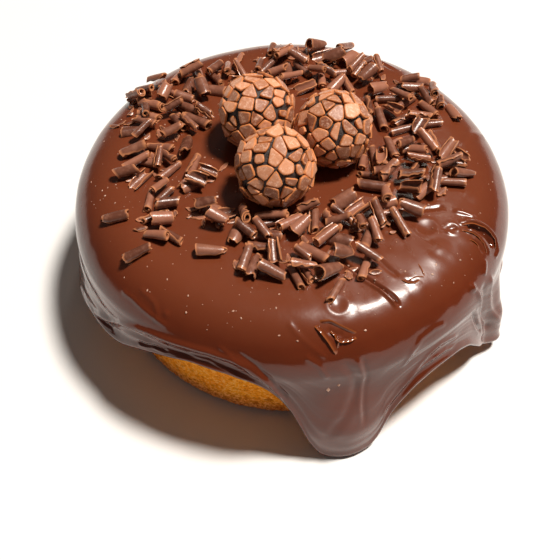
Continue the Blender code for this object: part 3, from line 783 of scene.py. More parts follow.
def ganache_finish():
    ganache = Finish("poured_ganache", 0.2)
    cloudy = ganache.stretch(ganache.noise(0.03), 0.3, 0.7)
    body = ganache.blend(cloudy, CLEAR_BROWN, CLOUDY_BROWN)
    height = ganache.height()
    # The top is painted paler and greyer by height: a painted sheen.
    painted_top_sheen = ganache.stretch(height, 0.0535, 0.0602, 0.0, 0.8)
    ganache.colour(ganache.blend(painted_top_sheen, body, TOP_SHEEN_BROWN))
    setting = ganache.stretch(height, 0.050, 0.0605, 0.05, 0.17)
    uneven = ganache.plus(setting, ganache.noise(0.009, detail=4.0), 0.10)
    hazy = ganache.plus(uneven, ganache.number("haze"), 0.22)
    ganache.join(hazy, ganache.shader.inputs["Roughness"])
    ganache.set("IOR", 1.5)
    ganache.set("Subsurface Weight", 0.08)
    ganache.set("Subsurface Radius", (0.004, 0.0012, 0.0005))
    ganache.set("Subsurface Scale", 0.4)
    ganache.relief(ganache.noise(0.0035, detail=4.0, roughness=0.6), 0.00006)
    return ganache.material


# %% Pour the coat
HAZE_BEARING = 308.0
HAZE_SPREAD = 44.0
HAZE_DOWN = 17.0
HAZE_REACH = 20.0


def haze_at(bearing, down):
    """How dull the skin is, from 0 to 1: streaks across a patch on the right of the front."""
    across = eased(1.0 - abs(degrees_apart(bearing, HAZE_BEARING)) / HAZE_SPREAD)
    along = eased(1.0 - abs(down - HAZE_DOWN) / HAZE_REACH)
    streak = noise_at(bearing * 0.35, down * 0.12, 6.0)
    return across * along * np.clip(0.65 + 1.1 * streak, 0.0, 1.0)


def lining_radius(height, outside, thickness):
    """Radius of the coat's inside: as thick as it can be, and never in the sponge."""
    return max(sponge_radius(height) + GAP + SPONGE_CRUMB, outside - thickness)


def inner_section(column):
    """Rows (radius, height) round the lip and up along the sponge."""
    hem, bulge, thickness = hems[column], bulges[column], thicknesses[column]
    lip = hem + HEM_LIP
    outside = shifted[column, -1, 0]
    inside = lining_radius(lip, wall_radius(lip, hem, bulge), thickness)
    rows = []
    for row in range(1, LIP_ROWS + 1):
        turn = math.pi * row / (LIP_ROWS + 1)
        sunk = HEM_LIP * math.sin(turn) ** 0.6
        rows.append((outside + (inside - outside) * (1.0 - math.cos(turn)) / 2, lip - sunk))
    for share in (0.0, 0.33, 0.66):
        height = lip + (SPONGE_EDGE_HEIGHTS[0] - lip) * share
        rows.append((lining_radius(height, wall_radius(height, hem, bulge), thickness), height))
    rows += [(sponge_radius(height) + GAP + SPONGE_CRUMB, height) for height in SPONGE_EDGE_HEIGHTS]
    rows.append((sponge_radius(SPONGE_HEIGHT) + GAP, SPONGE_HEIGHT + GAP))
    return rows


def pour_coat():
    points, hazes = [], []
    for column, bearing in enumerate(BEARINGS):
        turn = math.radians(bearing)
        lining = inner_section(column)
        hazes += [*haze_at(bearing, outer[column, :, 2] / MM), *[0.0] * len(lining)]
        for radius, height in (*shifted[column], *lining):
            points.append((radius * math.cos(turn), radius * math.sin(turn), height))
    faces = turned_faces(len(BEARINGS), len(points) // len(BEARINGS))
    points += [(0.0, 0.0, TOP_HEIGHT), (0.0, 0.0, SPONGE_HEIGHT + GAP)]
    hazes += [0.0, 0.0]
    finish = ganache_finish()
    make_piece("ganache_coat", points, faces, finish, "ganache", "chocolate_ganache", 70.0, haze=hazes)


pour_coat()

# %% [markdown]
# ## The torn skin
#
# Where something touched the setting skin it tore, and slivers stood up along the tear. They are
# thinner than the grid of the coat, so each is a little blade of its own that follows a path over
# the shoulder and sinks into the coat at its foot and at both ends. One function turns any curved
# sheet into a closed skin. It is given the middle of the sheet and which way is out, and it makes
# both faces and the rims between them. The curls will use it too.


# %% Thicken a sheet
def thick_sheet(middle, outward, thickness):
    """Points, faces and edge numbers of a closed sheet, from arrays of rows x columns places."""
    rows, columns = middle.shape[:2]
    half = rows * columns
    to_skin = outward * thickness[..., None] / 2
    points = np.concatenate([(middle + to_skin).reshape(-1, 3), (middle - to_skin).reshape(-1, 3)])
    grid = np.arange(half).reshape(rows, columns)
    corners = grid[:-1, :-1], grid[:-1, 1:], grid[1:, 1:], grid[1:, :-1]
    quads = np.stack(corners, -1).reshape(-1, 4)
    border = np.concatenate([grid[0], grid[1:, -1], grid[-1, -2::-1], grid[-2:0:-1, 0]])
    after = np.roll(border, -1)
    rims = np.stack([border, border + half, after + half, after], -1)
    faces = np.concatenate([quads, quads[:, ::-1] + half, rims]).tolist()
    is_edge = np.zeros(half)
    is_edge[border] = 1.0
    return points, faces, np.concatenate([is_edge, is_edge])


# %% Raise the slivers
SLIVERS = (
    # height and lean sideways in mm, then the path as in the strokes
    (1.1, 1.2, ((276.2, 27.2), (277.6, 29.4), (279.2, 32.6), (280.8, 37.0))),
    (1.0, -0.9, ((276.9, 27.0), (279.4, 27.2), (282.2, 29.6), (285.4, 32.4))),
    (1.0, 0.9, ((280.6, 31.6), (281.6, 33.0), (283.4, 33.2), (285.4, 32.7))),
    (0.6, -0.5, ((280.8, 35.6), (281.2, 33.8), (280.6, 31.4), (279.6, 29.8))),
    (0.35, 0.4, ((304.2, 20.8), (304.9, 22.8), (306.6, 23.9), (308.4, 23.8))),
    (0.25, 0.3, ((305.8, 22.2), (308.2, 22.4), (310.2, 24.0))),
    (0.30, -0.4, ((311.6, 18.6), (311.0, 21.2), (310.2, 23.8))),
    (1.0, 1.2, ((334.2, 21.6), (336.6, 25), (337.6, 30), (337.2, 35.0), (335.6, 38.6))),
    (0.8, 0.9, ((332.2, 22.8), (333.3, 27.0), (332.9, 31.5), (331.6, 35.5))),
    (0.5, 0.5, ((330.6, 26.4), (331.0, 29.0), (330.4, 31.8))),
)
SLIVER_STEPS = 14
SLIVER_FOOT = 0.45 * MM


def shoulder_place(bearing, down):
    """Point of the coat and the way out of it, from a bearing and a distance down in mm."""
    slope = float(np.interp(down * MM - FLAT_LENGTH, ARC_LENGTHS, slopes))
    turn = math.radians(bearing)
    radius = CAKE_RADIUS - SHOULDER_WIDTH * (1.0 - math.cos(slope))
    if down * MM < FLAT_LENGTH:
        radius = UNROLL_START + down * MM
    out = np.array((math.cos(turn), math.sin(turn), 0.0))
    up = np.array((0.0, 0.0, 1.0))
    normal = out * math.cos(slope) * SHOULDER_DROP + up * math.sin(slope) * SHOULDER_WIDTH
    place = out * radius + up * (RIM_HEIGHT + SHOULDER_DROP * math.sin(slope))
    return place, normal / np.linalg.norm(normal)


def sliver_sheet(height, lean, path):
    """A blade along a path, tallest in its middle and leaning to one side."""
    at, low = np.array(path, float).T
    stations = np.linspace(0.0, len(path) - 1.0, SLIVER_STEPS)
    bearings = np.interp(stations, range(len(path)), at)
    downs = np.interp(stations, range(len(path)), low)
    places, normals = map(np.array, zip(*map(shoulder_place, bearings, downs)))
    sideways = np.cross(np.gradient(places, axis=0), normals)
    sideways /= np.linalg.norm(sideways, axis=1)[:, None]
    share = np.linspace(0.0, 1.0, SLIVER_STEPS)
    torn = 1.0 + 0.5 * noise_at(np.arange(SLIVER_STEPS) * 0.9, at[0], height)
    tall = height * MM * np.sqrt(np.sin(math.pi * share)) * torn
    rise = np.linspace(0.0, 1.0, 5)[None, :, None]
    foot = (places - normals * SLIVER_FOOT)[:, None, :]
    middle = foot + normals[:, None, :] * rise * (tall + SLIVER_FOOT)[:, None, None]
    middle = middle + sideways[:, None, :] * rise**2 * lean * MM
    thickness = np.broadcast_to(0.75 - 0.55 * rise[..., 0], middle.shape[:2]) * MM
    return thick_sheet(middle, np.broadcast_to(sideways[:, None, :], middle.shape), thickness)


def torn_finish():
    torn = Finish("torn_ganache", 0.14)
    # The edges of the slivers are painted lighter: a painted highlight where light catches them.
    torn.colour(torn.blend(torn.number("rim"), (0.12, 0.024, 0.007), (0.24, 0.062, 0.016)))
    return torn.material


slivers = [(*sliver_sheet(*sliver), 0.0) for sliver in SLIVERS]
join_skins("torn_skin", slivers, torn_finish(), "ganache", "chocolate_ganache")

# %% [markdown]
# ## Where the curls fell
#
# About 180 curls lie on the ganache in drifts, thick behind the truffles and thin in front. They
# did not land evenly, and they lie on each other, so they are dropped one by one: a curl gets a
# random place in its drift and sinks until it rests on the ganache or on the curls below it. The
# order of the draws is fixed by the seed, so the same curls fall in the same places every time.

# %% The truffles' places and the drifts
TRUFFLES = (
    ("truffle_front", -5.9, -14.1, 11),
    ("truffle_left", -12.4, 12.8, 22),
    ("truffle_right", 14.4, 4.6, 13),
)
TRUFFLE_RADIUS = 13.6 * MM
TRUFFLE_SINK = 1.1 * MM

# Drifts of curls, in plan: (x, y, half-length, half-width in mm, turn in degrees, curls).
CURL_DRIFTS = (
    (10, 51, 25, 12, 0, 32),
    (-39, 40, 24, 8, 18, 19),
    (-47, 21, 17, 8, 0, 12),
    (-44, -3, 18, 11, 0, 15),
    (-45, -27, 12, 6, 90, 7),
    (-28, -25, 7, 4, -20, 3),
    (-10, -31, 11, 7, -15, 9),
    (20, -28, 21, 9, 8, 20),
    (5, -47, 21, 6, 0, 12),
    (43, -3, 19, 14, 10, 31),
    (43, 29, 14, 14, 0, 18),
)

# Curls that lie apart: (x, y, heading and roll in degrees, length, radius in mm, whether a shell).
LONE_CURLS = (
    (-60, -26, 8, -20, 9.0, 2.6, True),
    (-51, -42, 24, -55, 9.5, 2.4, True),
    (-27, -42, -3, -60, 9.5, 2.4, True),
    (13.5, -57.5, 62, 0, 9.5, 1.7, False),
    (-13, -48, 75, 30, 9.0, 2.4, True),
    (-7, -51, -20, -50, 9.0, 2.4, True),
    (-11, -40, -8, 0, 9.0, 1.9, False),
    (-58, 37.5, -8, 0, 10.0, 1.6, False),
    (-20.5, 56, 72, 0, 7.5, 1.7, False),
    (-7.5, 63, 80, 0, 7.5, 1.8, False),
    (50, 46, 12, 0, 8.5, 1.8, False),
    (61, 26, 110, 20, 8.0, 2.4, True),
)
CURL_SEED = 7
CURL_TRIES = 60
CURL_SPOTS = 4
CURL_LENGTH = (10.6 * MM, 7.4 * MM)
CURL_RADIUS = (2.2 * MM, 1.5 * MM)
SHELL_RADIUS = (3.0 * MM, 2.2 * MM)
SHELL_SHARE = 0.36
SHELL_LEAN = math.radians(28)
SHELL_REACH = math.radians(15)
OPEN_UP_SHARE = 0.3
OPEN_SHELL_SEAT = 0.77
SHELL_SHORTER = 0.85
CURL_CUT = 0.45
CURL_SINK = 0.35 * MM
CURL_LIFT_STEP = 0.4 * MM
CURL_LIFT_STEPS = 16
CURL_LEANS = ((0.0, 1.0), (1.0, 0.0), (0.5, 1.0), (1.0, 0.5))
CURL_STEEPEST = 0.4
CURL_PRESS = 0.4 * MM
CURL_OVERLAP = 0.76
CURL_MOST_REACH = 75.0 * MM


# %% Rules for resting a curl
def top_height(x, y):
    """Height of the ganache's upper side at a place in plan."""
    over = min(max(math.hypot(x, y) - (CAKE_RADIUS - SHOULDER_WIDTH), 0.0), SHOULDER_WIDTH)
    return RIM_HEIGHT + SHOULDER_DROP * math.sqrt(1.0 - (over / SHOULDER_WIDTH) ** 2)


def truffle_centre(x, y):
    return Vector((x * MM, y * MM, TOP_HEIGHT + TRUFFLE_RADIUS - TRUFFLE_SINK))


def distance_between(start, end, other_start, other_end):
    """Shortest distance between two straight stretches."""
    along, other_along, apart = end - start, other_end - other_start, start - other_start
    length, other_length = along.dot(along), other_along.dot(other_along)
    lean, turn = along.dot(apart), other_along.dot(apart)
    both = along.dot(other_along)
    spread = length * other_length - both * both
    share = 0.5
    if spread > 1e-18:
        share = min(max((both * turn - lean * other_length) / spread, 0.0), 1.0)
    other_share = (both * share + turn) / other_length
    if not 0.0 <= other_share <= 1.0:
        other_share = min(max(other_share, 0.0), 1.0)
        share = min(max((both * other_share - lean) / length, 0.0), 1.0)
    return (apart + along * share - other_along * other_share).length


def curl_is_free(start, end, radius, near):
    """Whether a curl lying between two points clears the truffles and the curls near it."""
    reach = TRUFFLE_RADIUS + radius + 2 * GAP
    for _, x, y, _ in TRUFFLES:
        centre = truffle_centre(x, y)
        if distance_between(start, end, centre, centre + Vector((0, 0, MM))) < reach:
            return False
    for other in near:
        limit = (radius + other["radius"]) * CURL_OVERLAP
        if distance_between(start, end, other["start"], other["end"]) < limit:
            return False
    return True


def settle_curl(x, y, heading, curl, laid):
    """Lowest rest of a curl here, as (lift, start, end): flat, or leaning on what lies below."""
    length, radius = curl["length"], curl["radius"]
    half = Vector((math.cos(heading), math.sin(heading), 0.0)) * length / 2
    ends = []
    for side in (-1, 1):
        place = Vector((x, y, 0.0)) + half * side
        if math.hypot(place.x, place.y) > CURL_MOST_REACH:
            return None
        place.z = top_height(place.x, place.y) + curl["seat"] - CURL_SINK
        ends.append(place)
    middle = (ends[0] + ends[1]) / 2
    near = []
    for other in laid:
        apart = (other["start"] + other["end"]) / 2 - middle
        reach = (length + (other["end"] - other["start"]).length) / 2 + radius + other["radius"]
        if apart.length < reach:
            near.append(other)
    for step in range(CURL_LIFT_STEPS):
        lift = step * CURL_LIFT_STEP
        for shares in CURL_LEANS:
            if abs(shares[0] - shares[1]) * lift > CURL_STEEPEST * length:
                continue
            start, end = (
                place + Vector((0.0, 0.0, lift * share - CURL_PRESS * min(step, 1)))
                for place, share in zip(ends, shares)
            )
            if curl_is_free(start, end, radius, near):
                return lift * sum(shares), start, end
    return None


# %% Let the curls fall
def spot_in_drift(drift, draw):
    """A random place inside a drift's ellipse, in metres."""
    x, y, half_length, half_width, turn, _ = drift
    out = math.sqrt(draw.random())
    round_drift = draw.uniform(0.0, math.tau)
    along = half_length * out * math.cos(round_drift)
    across = half_width * out * math.sin(round_drift)
    lean = math.radians(turn)
    return (
        (x + along * math.cos(lean) - across * math.sin(lean)) * MM,
        (y + along * math.sin(lean) + across * math.cos(lean)) * MM,
    )


def shaped_curl(is_shell, roll, length, radius, draw):
    """A curl of a given size and roll, with its taper, its broken ends and how high it sits."""
    seat = radius
    if is_shell and abs(roll) > math.pi / 2:
        seat = radius * OPEN_SHELL_SEAT
    elif is_shell:
        seat = radius * math.sin(min(SHELL_REACH + abs(roll), math.pi / 2))
    return {
        "is_shell": is_shell,
        "radius": radius,
        "length": length,
        "seat": seat,
        "roll": roll,
        "taper": draw.uniform(0.7, 1.0),
        "cuts": [draw.uniform(-CURL_CUT, CURL_CUT) for _ in range(2)],
    }


def new_curl(share, draw):
    """Size and form of a curl that falls when this share of its drift already lies there."""
    is_shell = draw.random() < SHELL_SHARE
    opens_up = draw.random() < OPEN_UP_SHARE
    radii = SHELL_RADIUS if is_shell else CURL_RADIUS
    radius = draw.uniform(*radii)
    length = CURL_LENGTH[0] + (CURL_LENGTH[1] - CURL_LENGTH[0]) * share
    length *= draw.uniform(0.88, 1.12) * (SHELL_SHORTER if is_shell else 1.0)
    roll = draw.uniform(0.0, math.tau)
    if is_shell:
        roll = math.pi if opens_up else draw.uniform(-SHELL_LEAN, SHELL_LEAN)
    return shaped_curl(is_shell, roll, length, radius, draw)


def lay_curls():
    """Drops the curls one by one, the longest first; each takes the lowest of a few spots."""
    draw = random.Random(CURL_SEED)
    laid = []
    for x, y, heading, roll, length, radius, is_shell in LONE_CURLS:
        curl = shaped_curl(is_shell, math.radians(roll), length * MM, radius * MM, draw)
        rest = settle_curl(x * MM, y * MM, math.radians(heading), curl, laid)
        _, curl["start"], curl["end"] = rest
        laid.append(curl)
    for place in range(max(drift[-1] for drift in CURL_DRIFTS)):
        for drift in CURL_DRIFTS:
            if place >= drift[-1]:
                continue
            curl = new_curl(place / drift[-1], draw)
            rests = []
            for _ in range(CURL_TRIES):
                x, y = spot_in_drift(drift, draw)
                rest = settle_curl(x, y, draw.uniform(0.0, math.pi), curl, laid)
                if rest:
                    rests.append(rest)
                if len(rests) == CURL_SPOTS:
                    break
            if rests:
                _, curl["start"], curl["end"] = min(rests, key=lambda rest: rest[0])
                laid.append(curl)
    return laid


laid_curls = lay_curls()
rolls = [curl for curl in laid_curls if not curl["is_shell"]]
shells = [curl for curl in laid_curls if curl["is_shell"]]
print("rolled curls:", len(rolls), "open shells:", len(shells))

# %% [markdown]
# ## What a curl is made of
#
# A blade pushed over a block of chocolate lifts a thin shaving that rolls up on itself. So each
# curl is a sheet with a thickness of half a millimetre, not a tube: a tight one is a spiral with a
# dark hole at each end, a loose one is an open shell with ragged edges. Each is made upright at
# the origin, and a matrix then carries it to where it lies.


# %% Carry a curl to its place
def place_of(curl):
    """The matrix that carries a curl made along +Z to where it lies."""
    along = curl["end"] - curl["start"]
    facing = along.to_track_quat("Z", "Y").to_matrix().to_4x4()
    return Matrix.Translation(curl["start"]) @ facing @ Matrix.Rotation(curl["roll"], 4, "Z")


def carry(points, matrix):
    """All points of a skin after a matrix."""
    turned = points @ np.array(matrix.to_3x3()).T
    return turned + np.array(matrix.translation)


# %% [markdown]
# ### A tight roll
#
# The sheet winds a little over once to almost twice round, from a small hole in the middle out
# to the curl's radius. Its last edge lifts off a little and is ragged, and both ends are
# broken, not cut, so every turn ends at a slightly different place.


# %% Roll a sheet up
# Each roll draws between two limits its turns, its hole as a share and its thickness in mm.
ROLL_TURNS = (1.15, 1.75)
ROLL_HOLE = (0.42, 0.66)
ROLL_THICKNESS = (0.5, 0.7)
ROLL_COLUMNS_A_TURN = 15
ROLL_ROWS = 9
HALF_A_SHEET = 0.28 * MM
# Shares of the sheet: where its last edge lifts off, and where that edge becomes ragged.
LIFTS_FROM, RAGGED_FROM = 0.82, 0.75


def roll_sheet(curl, draw):
    """A curl wound up tight; each grid goes along the curl in rows and round it in columns."""
    turns = draw.uniform(*ROLL_TURNS)
    hole = draw.uniform(*ROLL_HOLE)
    first = draw.uniform(0.0, math.tau)
    length = (curl["end"] - curl["start"]).length
    wind = np.linspace(0.0, 1.0, int(ROLL_COLUMNS_A_TURN * turns))[None, :]
    share = np.linspace(0.0, 1.0, ROLL_ROWS)[:, None]
    size = 1.0 + (curl["taper"] - 1.0) * share
    reach = curl["radius"] * size * (hole + (1.0 - hole) * wind) - HALF_A_SHEET
    reach = reach + noise_at(4.0 * wind, 3.0 * share, 10.0 * first) * 0.16 * MM
    last_lift = eased((wind - LIFTS_FROM) / (1.0 - LIFTS_FROM)) * draw.uniform(0.0, 0.9) * MM
    reach = reach + last_lift * (0.5 + share * draw.uniform(-0.5, 0.5))
    turn = first + wind * turns * math.tau + share * draw.uniform(-0.5, 0.5)
    ragged = eased((wind - RAGGED_FROM) / (1.0 - RAGGED_FROM))
    turn = turn + ragged * noise_at(4.5 * share, first, 13.0) * 0.9
    start, stop = (noise_at(3.0 * wind[0] + 20.0 * end, first, 7.0) * MM for end in (0, 1))
    slants = [cut * curl["radius"] for cut in curl["cuts"]]
    start = start + slants[0] * np.cos(turn[0]) + 0.2 * MM
    stop = length + stop + slants[1] * np.cos(turn[-1]) - 0.2 * MM
    outward = np.stack([np.cos(turn), np.sin(turn), np.zeros_like(turn)], -1)
    middle = outward * reach[..., None]
    middle[..., 2] = start + (stop - start) * share
    thickness = np.full(turn.shape, draw.uniform(*ROLL_THICKNESS) * MM)
    thickness *= 0.45 + 0.55 * eased(np.minimum(1.0 - wind, wind + 0.2) / 0.06)
    thickness *= 0.7 + 0.3 * eased(np.minimum(share, 1.0 - share) / 0.1)
    return thick_sheet(middle, outward, thickness)


# %% [markdown]
# ### An open shell
#
# A short stroke of the blade gives a wide shaving that doesn't close. It is broken off straight at
# one end and often narrows at the other, where the blade came out. Those that lie on their back
# are the flattest, and show their hollow side. Those turned over to their side are almost rolls,
# and their torn long edge shows.


# %% Bend a sheet into a shell
# How much a shell narrows at its first and at its last end, and its thickness in mm.
SHELL_ENDS = ((0.0, 0.45), (0.5, 0.0), (0.25, 0.4), (0.05, 0.3), (0.4, 0.1))
SHELL_THICKNESS = (0.5, 0.75)
SHELL_GRID = 13
SHELL_FLATTER = 0.82
NEARLY_CLOSED = 2.6  # half the angle round a shell that is almost a roll


def shell_sheet(curl, draw):
    """A curl that stayed open; its hollow side faces down before it is turned."""
    length = (curl["end"] - curl["start"]).length
    share = np.linspace(0.0, 1.0, SHELL_GRID)[:, None]
    across = np.linspace(-1.0, 1.0, SHELL_GRID)[None, :]
    turned = abs(curl["roll"])
    on_its_back = turned > math.pi / 2
    on_its_side = SHELL_LEAN * 1.2 < turned < math.pi / 2
    narrow_first, narrow_last = draw.choice(SHELL_ENDS)
    point_form = draw.uniform(2.2, 4.0)
    narrowing = narrow_first * (1.0 - share) ** point_form + narrow_last * share**point_form
    narrowing = narrowing * (0.3 if on_its_side else 1.0)
    reach = (math.pi / 2 + SHELL_REACH) * draw.uniform(0.95, 1.25 if on_its_back else 1.6)
    reach = max(reach, NEARLY_CLOSED) if on_its_side else reach
    seed = draw.uniform(0.0, 50.0)
    torn = noise_at(3.5 * share[:, 0], [[0.0], [3.0]], seed)[:, :, None] * 0.4
    span = reach * (1.0 - narrowing) + np.where(across < 0, torn[0], torn[1]) * np.abs(across)
    turn = math.pi / 2 + across * span + draw.uniform(-0.5, 0.5) * (share - 0.5)
    size = 1.0 + (curl["taper"] - 1.0) * share
    radius = (curl["radius"] * size - 0.3 * MM) * (1.0 - 0.30 * narrowing)
    curve_in = draw.uniform(-0.05, 0.45)
    radius = radius * (1.0 - curve_in * eased((across * draw.choice((-1, 1)) - 0.45) / 0.55))
    outward = np.stack([np.cos(turn), np.sin(turn), 0.0 * turn], -1)
    middle = outward * radius[..., None]
    if on_its_back:
        middle[..., 1] *= SHELL_FLATTER
    start, stop = noise_at(2.0 * across[0], [[0.0], [9.0]], seed) * 1.3 * MM
    middle[..., 2] = start + (length + stop - start) * share
    thickness = draw.uniform(*SHELL_THICKNESS) * MM
    thickness = thickness * (0.55 + 0.45 * eased((1.0 - np.abs(across)) / 0.2))
    thickness = thickness * (0.7 + 0.3 * eased(np.minimum(share, 1.0 - share) / 0.1))
    return thick_sheet(middle, outward, thickness)


# %% [markdown]
# ## Colour of the curls
#
# The curls are milk chocolate: a touch lighter and greyer than the ganache, with a satin surface that
# the blade left finely lined. Their thin broken edges are painted a lighter caramel colour: painted
# light that catches the edges and passes through them.
# Every curl has its own tone, since some turned their shiny side up and some their dull side.


# %% Finish of the curls
DARK_CURL, PALE_CURL = (0.100, 0.031, 0.017), (0.330, 0.128, 0.076)
# The second colour here is painted light on the thin edges, caught by them and passing through them.
CURL_DUST, CURL_EDGE_GLOW = (0.42, 0.195, 0.130), (0.54, 0.210, 0.092)


def curl_finish():
    curl = Finish("curl_chocolate", 0.26)
    body = curl.blend(curl.number("tone"), DARK_CURL, PALE_CURL)
    dusty = curl.stretch(curl.noise(0.0022, detail=4.0), 0.45, 0.75, 0.0, 0.4)
    body = curl.blend(dusty, body, CURL_DUST)
    # Thin edges painted lighter: painted light catching and passing through them.
    rim = curl.stretch(curl.number("rim"), 0.0, 1.0, 0.0, 0.95)
    curl.colour(curl.blend(rim, body, CURL_EDGE_GLOW))
    curl.relief(curl.noise(0.0012, detail=5.0, roughness=0.65), 0.00012)
    return curl.material


chocolate_curl = curl_finish()


# %% Make the curls of each kind
def make_curls(name, curls, sheet_of, seed):
    draw = random.Random(seed)
    skins = []
    for curl in curls:
        skin, faces, rim = sheet_of(curl, draw)
        skins.append((carry(skin, place_of(curl)), faces, rim, draw.uniform(0.0, 1.0)))
    join_skins(name, skins, chocolate_curl, "ganache", "chocolate_ganache")


make_curls("rolled_curls", rolls, roll_sheet, seed=21)
make_curls("open_shells", shells, shell_sheet, seed=22)

# %% [markdown]
# ### Splinters and specks
#
# Shaving chocolate also makes splinters. Splinters of 2 to 5 mm lie between the curls. Pale specks of
# a quarter of a millimetre to one millimetre lie over the whole top: they are painted glints of tiny
# bubbles in the ganache's skin, set as pale crumbs. They are too small to stack, so each simply lies
# on the ganache where no curl is in the way. Two larger chips slid down with the warm ganache and set
# in the front of the broad drip.

# %% Scatter the splinters and the specks
SPLINTERS = 120
SPLINTER_SEED = 31
# Least and most, in mm.
SPLINTER_LENGTH = (2.0, 5.2)
SPLINTER_WIDTH = (1.0, 2.4)
SPLINTER_THICKNESS = (0.35, 0.55)
SPLINTER_LIFT = 0.15 * MM
SPLINTER_REACH = 70.0 * MM
DRIFT_SPREAD = 1.12
SPECKS = 420
SPECK_SEED = 41
SPECK_SIZES = (0.10, 0.12, 0.14, 0.16, 0.20, 0.28, 0.34)  # in mm
SPECK_REACH = 74.0 * MM
SPECK_SUNK = 0.3
# Chips in the drip: (bearing, distance down in mm, size in mm).
STUCK_CHIPS = ((278.2, 53.4, 1.05), (280.6, 51.0, 0.75))
SPECK_CORNERS = ((1.6, 0, 0), (0, 1, 0), (-1.2, 0, 0), (0, -1, 0), (0, 0, 0.9), (0, 0, -0.9))


def is_clear(x, y, gap):
    """Whether no curl or truffle lies within a gap of a place on the ganache."""
    place = Vector((x, y, top_height(x, y)))
    above = place + Vector((0, 0, MM))
    for curl in laid_curls:
        reach = curl["radius"] + gap
        if distance_between(place, above, curl["start"], curl["end"]) < reach:
            return False
    for _, truffle_x, truffle_y, _ in TRUFFLES:
        apart = math.hypot(place.x - truffle_x * MM, place.y - truffle_y * MM)
        if apart < TRUFFLE_RADIUS * 0.8 + gap:
            return False
    return True


def lying_at(x, y, heading, lift):
    """The matrix that lays a small thing on the ganache, tilted as the ganache is there."""
    step = 0.5 * MM
    rise_x = (top_height(x + step, y) - top_height(x - step, y)) / (2 * step)
    rise_y = (top_height(x, y + step) - top_height(x, y - step)) / (2 * step)
    up = Vector((-rise_x, -rise_y, 1.0)).normalized()
    facing = up.to_track_quat("Z", "Y").to_matrix().to_4x4() @ Matrix.Rotation(heading, 4, "Z")
    return Matrix.Translation((x, y, top_height(x, y) + lift)) @ facing


def splinter_sheet(draw):
    length, width = draw.uniform(*SPLINTER_LENGTH) * MM, draw.uniform(*SPLINTER_WIDTH) * MM
    share = np.linspace(-1.0, 1.0, 6)[:, None]
    across = np.linspace(-1.0, 1.0, 5)[None, :]
    taper = 1.0 - 0.75 * np.abs(share) ** draw.uniform(1.0, 2.5)
    bend = draw.uniform(0.4, 1.5)
    turn = across * taper * bend
    radius = width / bend / 2
    outward = np.stack([np.sin(turn), 0.0 * turn, np.cos(turn)], -1)
    middle = outward * radius
    middle[..., 2] -= radius * math.cos(bend)
    middle[..., 1] = share * length / 2 + across * draw.uniform(-0.6, 0.6) * MM
    thickness = np.full(turn.shape, draw.uniform(*SPLINTER_THICKNESS) * MM)
    return thick_sheet(middle, outward, thickness)


def scatter_splinters():
    draw = random.Random(SPLINTER_SEED)
    skins = []
    while len(skins) < SPLINTERS:
        x, y, half_length, half_width, turn, _ = draw.choice(CURL_DRIFTS)
        wider = (x, y, half_length * DRIFT_SPREAD, half_width * DRIFT_SPREAD, turn, 0)
        x, y = spot_in_drift(wider, draw)
        if math.hypot(x, y) > SPLINTER_REACH or not is_clear(x, y, GAP):
            continue
        skin, faces, rim = splinter_sheet(draw)
        place = lying_at(x, y, draw.uniform(0.0, math.tau), SPLINTER_LIFT)
        skins.append((carry(skin, place), faces, rim, draw.uniform(0.0, 1.0)))
    join_skins("curl_splinters", skins, chocolate_curl, "ganache", "chocolate_ganache")


scatter_splinters()


# Pale specks on the top are painted glints of tiny bubbles, set as crumbs; the same finish colours the
# two chips in the drip.
def speck_finish():
    speck = Finish("glint_specks_and_chips", 0.6)
    pale = speck.stretch(speck.noise(0.004), 0.3, 0.7)
    # Pale colour: painted glints on the top, and the chips' own colour in the drip.
    speck.colour(speck.blend(pale, (0.30, 0.12, 0.065), (0.74, 0.48, 0.36)))
    return speck.material


def stuck_at(bearing, down, sunk):
    """The matrix that stands a chip flat against the side of the coat."""
    column = abs(degrees_apart(BEARINGS, bearing)).argmin()
    row = abs(outer[column, :, 2] - down * MM).argmin()
    radius, height = shifted[column, row]
    flat = Matrix.Translation((radius - sunk, 0.0, height)) @ Matrix.Rotation(math.pi / 2, 4, "Y")
    return Matrix.Rotation(math.radians(bearing), 4, "Z") @ flat


def scatter_specks():
    draw = random.Random(SPECK_SEED)
    points, faces, places = [], [], []
    while len(places) < SPECKS:
        out = math.sqrt(draw.random()) * SPECK_REACH
        turn = draw.uniform(0.0, math.tau)
        x, y = out * math.cos(turn), out * math.sin(turn)
        if not is_clear(x, y, 0.0):
            continue
        size = draw.choice(SPECK_SIZES) * MM
        heading = draw.uniform(0.0, math.tau)
        places.append((lying_at(x, y, heading, size * SPECK_SUNK), size))
    for bearing, down, size in STUCK_CHIPS:
        places.append((stuck_at(bearing, down, size * SPECK_SUNK * MM), size * MM))
    for place, size in places:
        first = len(points)
        for way in SPECK_CORNERS:
            points.append(place @ (Vector(way) * size * draw.uniform(0.8, 1.25)))
        for a, b in ((0, 1), (1, 2), (2, 3), (3, 0)):
            faces += [(first + a, first + b, first + 4), (first + b, first + a, first + 5)]
    make_piece("glint_specks_and_chips", points, faces, speck_finish(), "ganache", "chocolate_ganache")


scatter_specks()

# %% [markdown]
# ## The truffles
#
# Each truffle is a dark, grainy ball of chocolate rolled in flat flakes. The flakes are broken
# plates of 4 to 6 mm that fit together like paving, with dark joints between them. To lay such
# paving over a ball, an even spiral of centres is pushed about a little, and each flake takes the
# patch of ball that is nearer to its centre than to any other. Then every flake is made a plate of
# its own: shrunk, its corners knocked off, tilted a little and given a rounded edge.


# %% Patches of the ball that belong to each flake
FLAKES_ON_TRUFFLE = 95
FLAKE_JITTER = 0.07


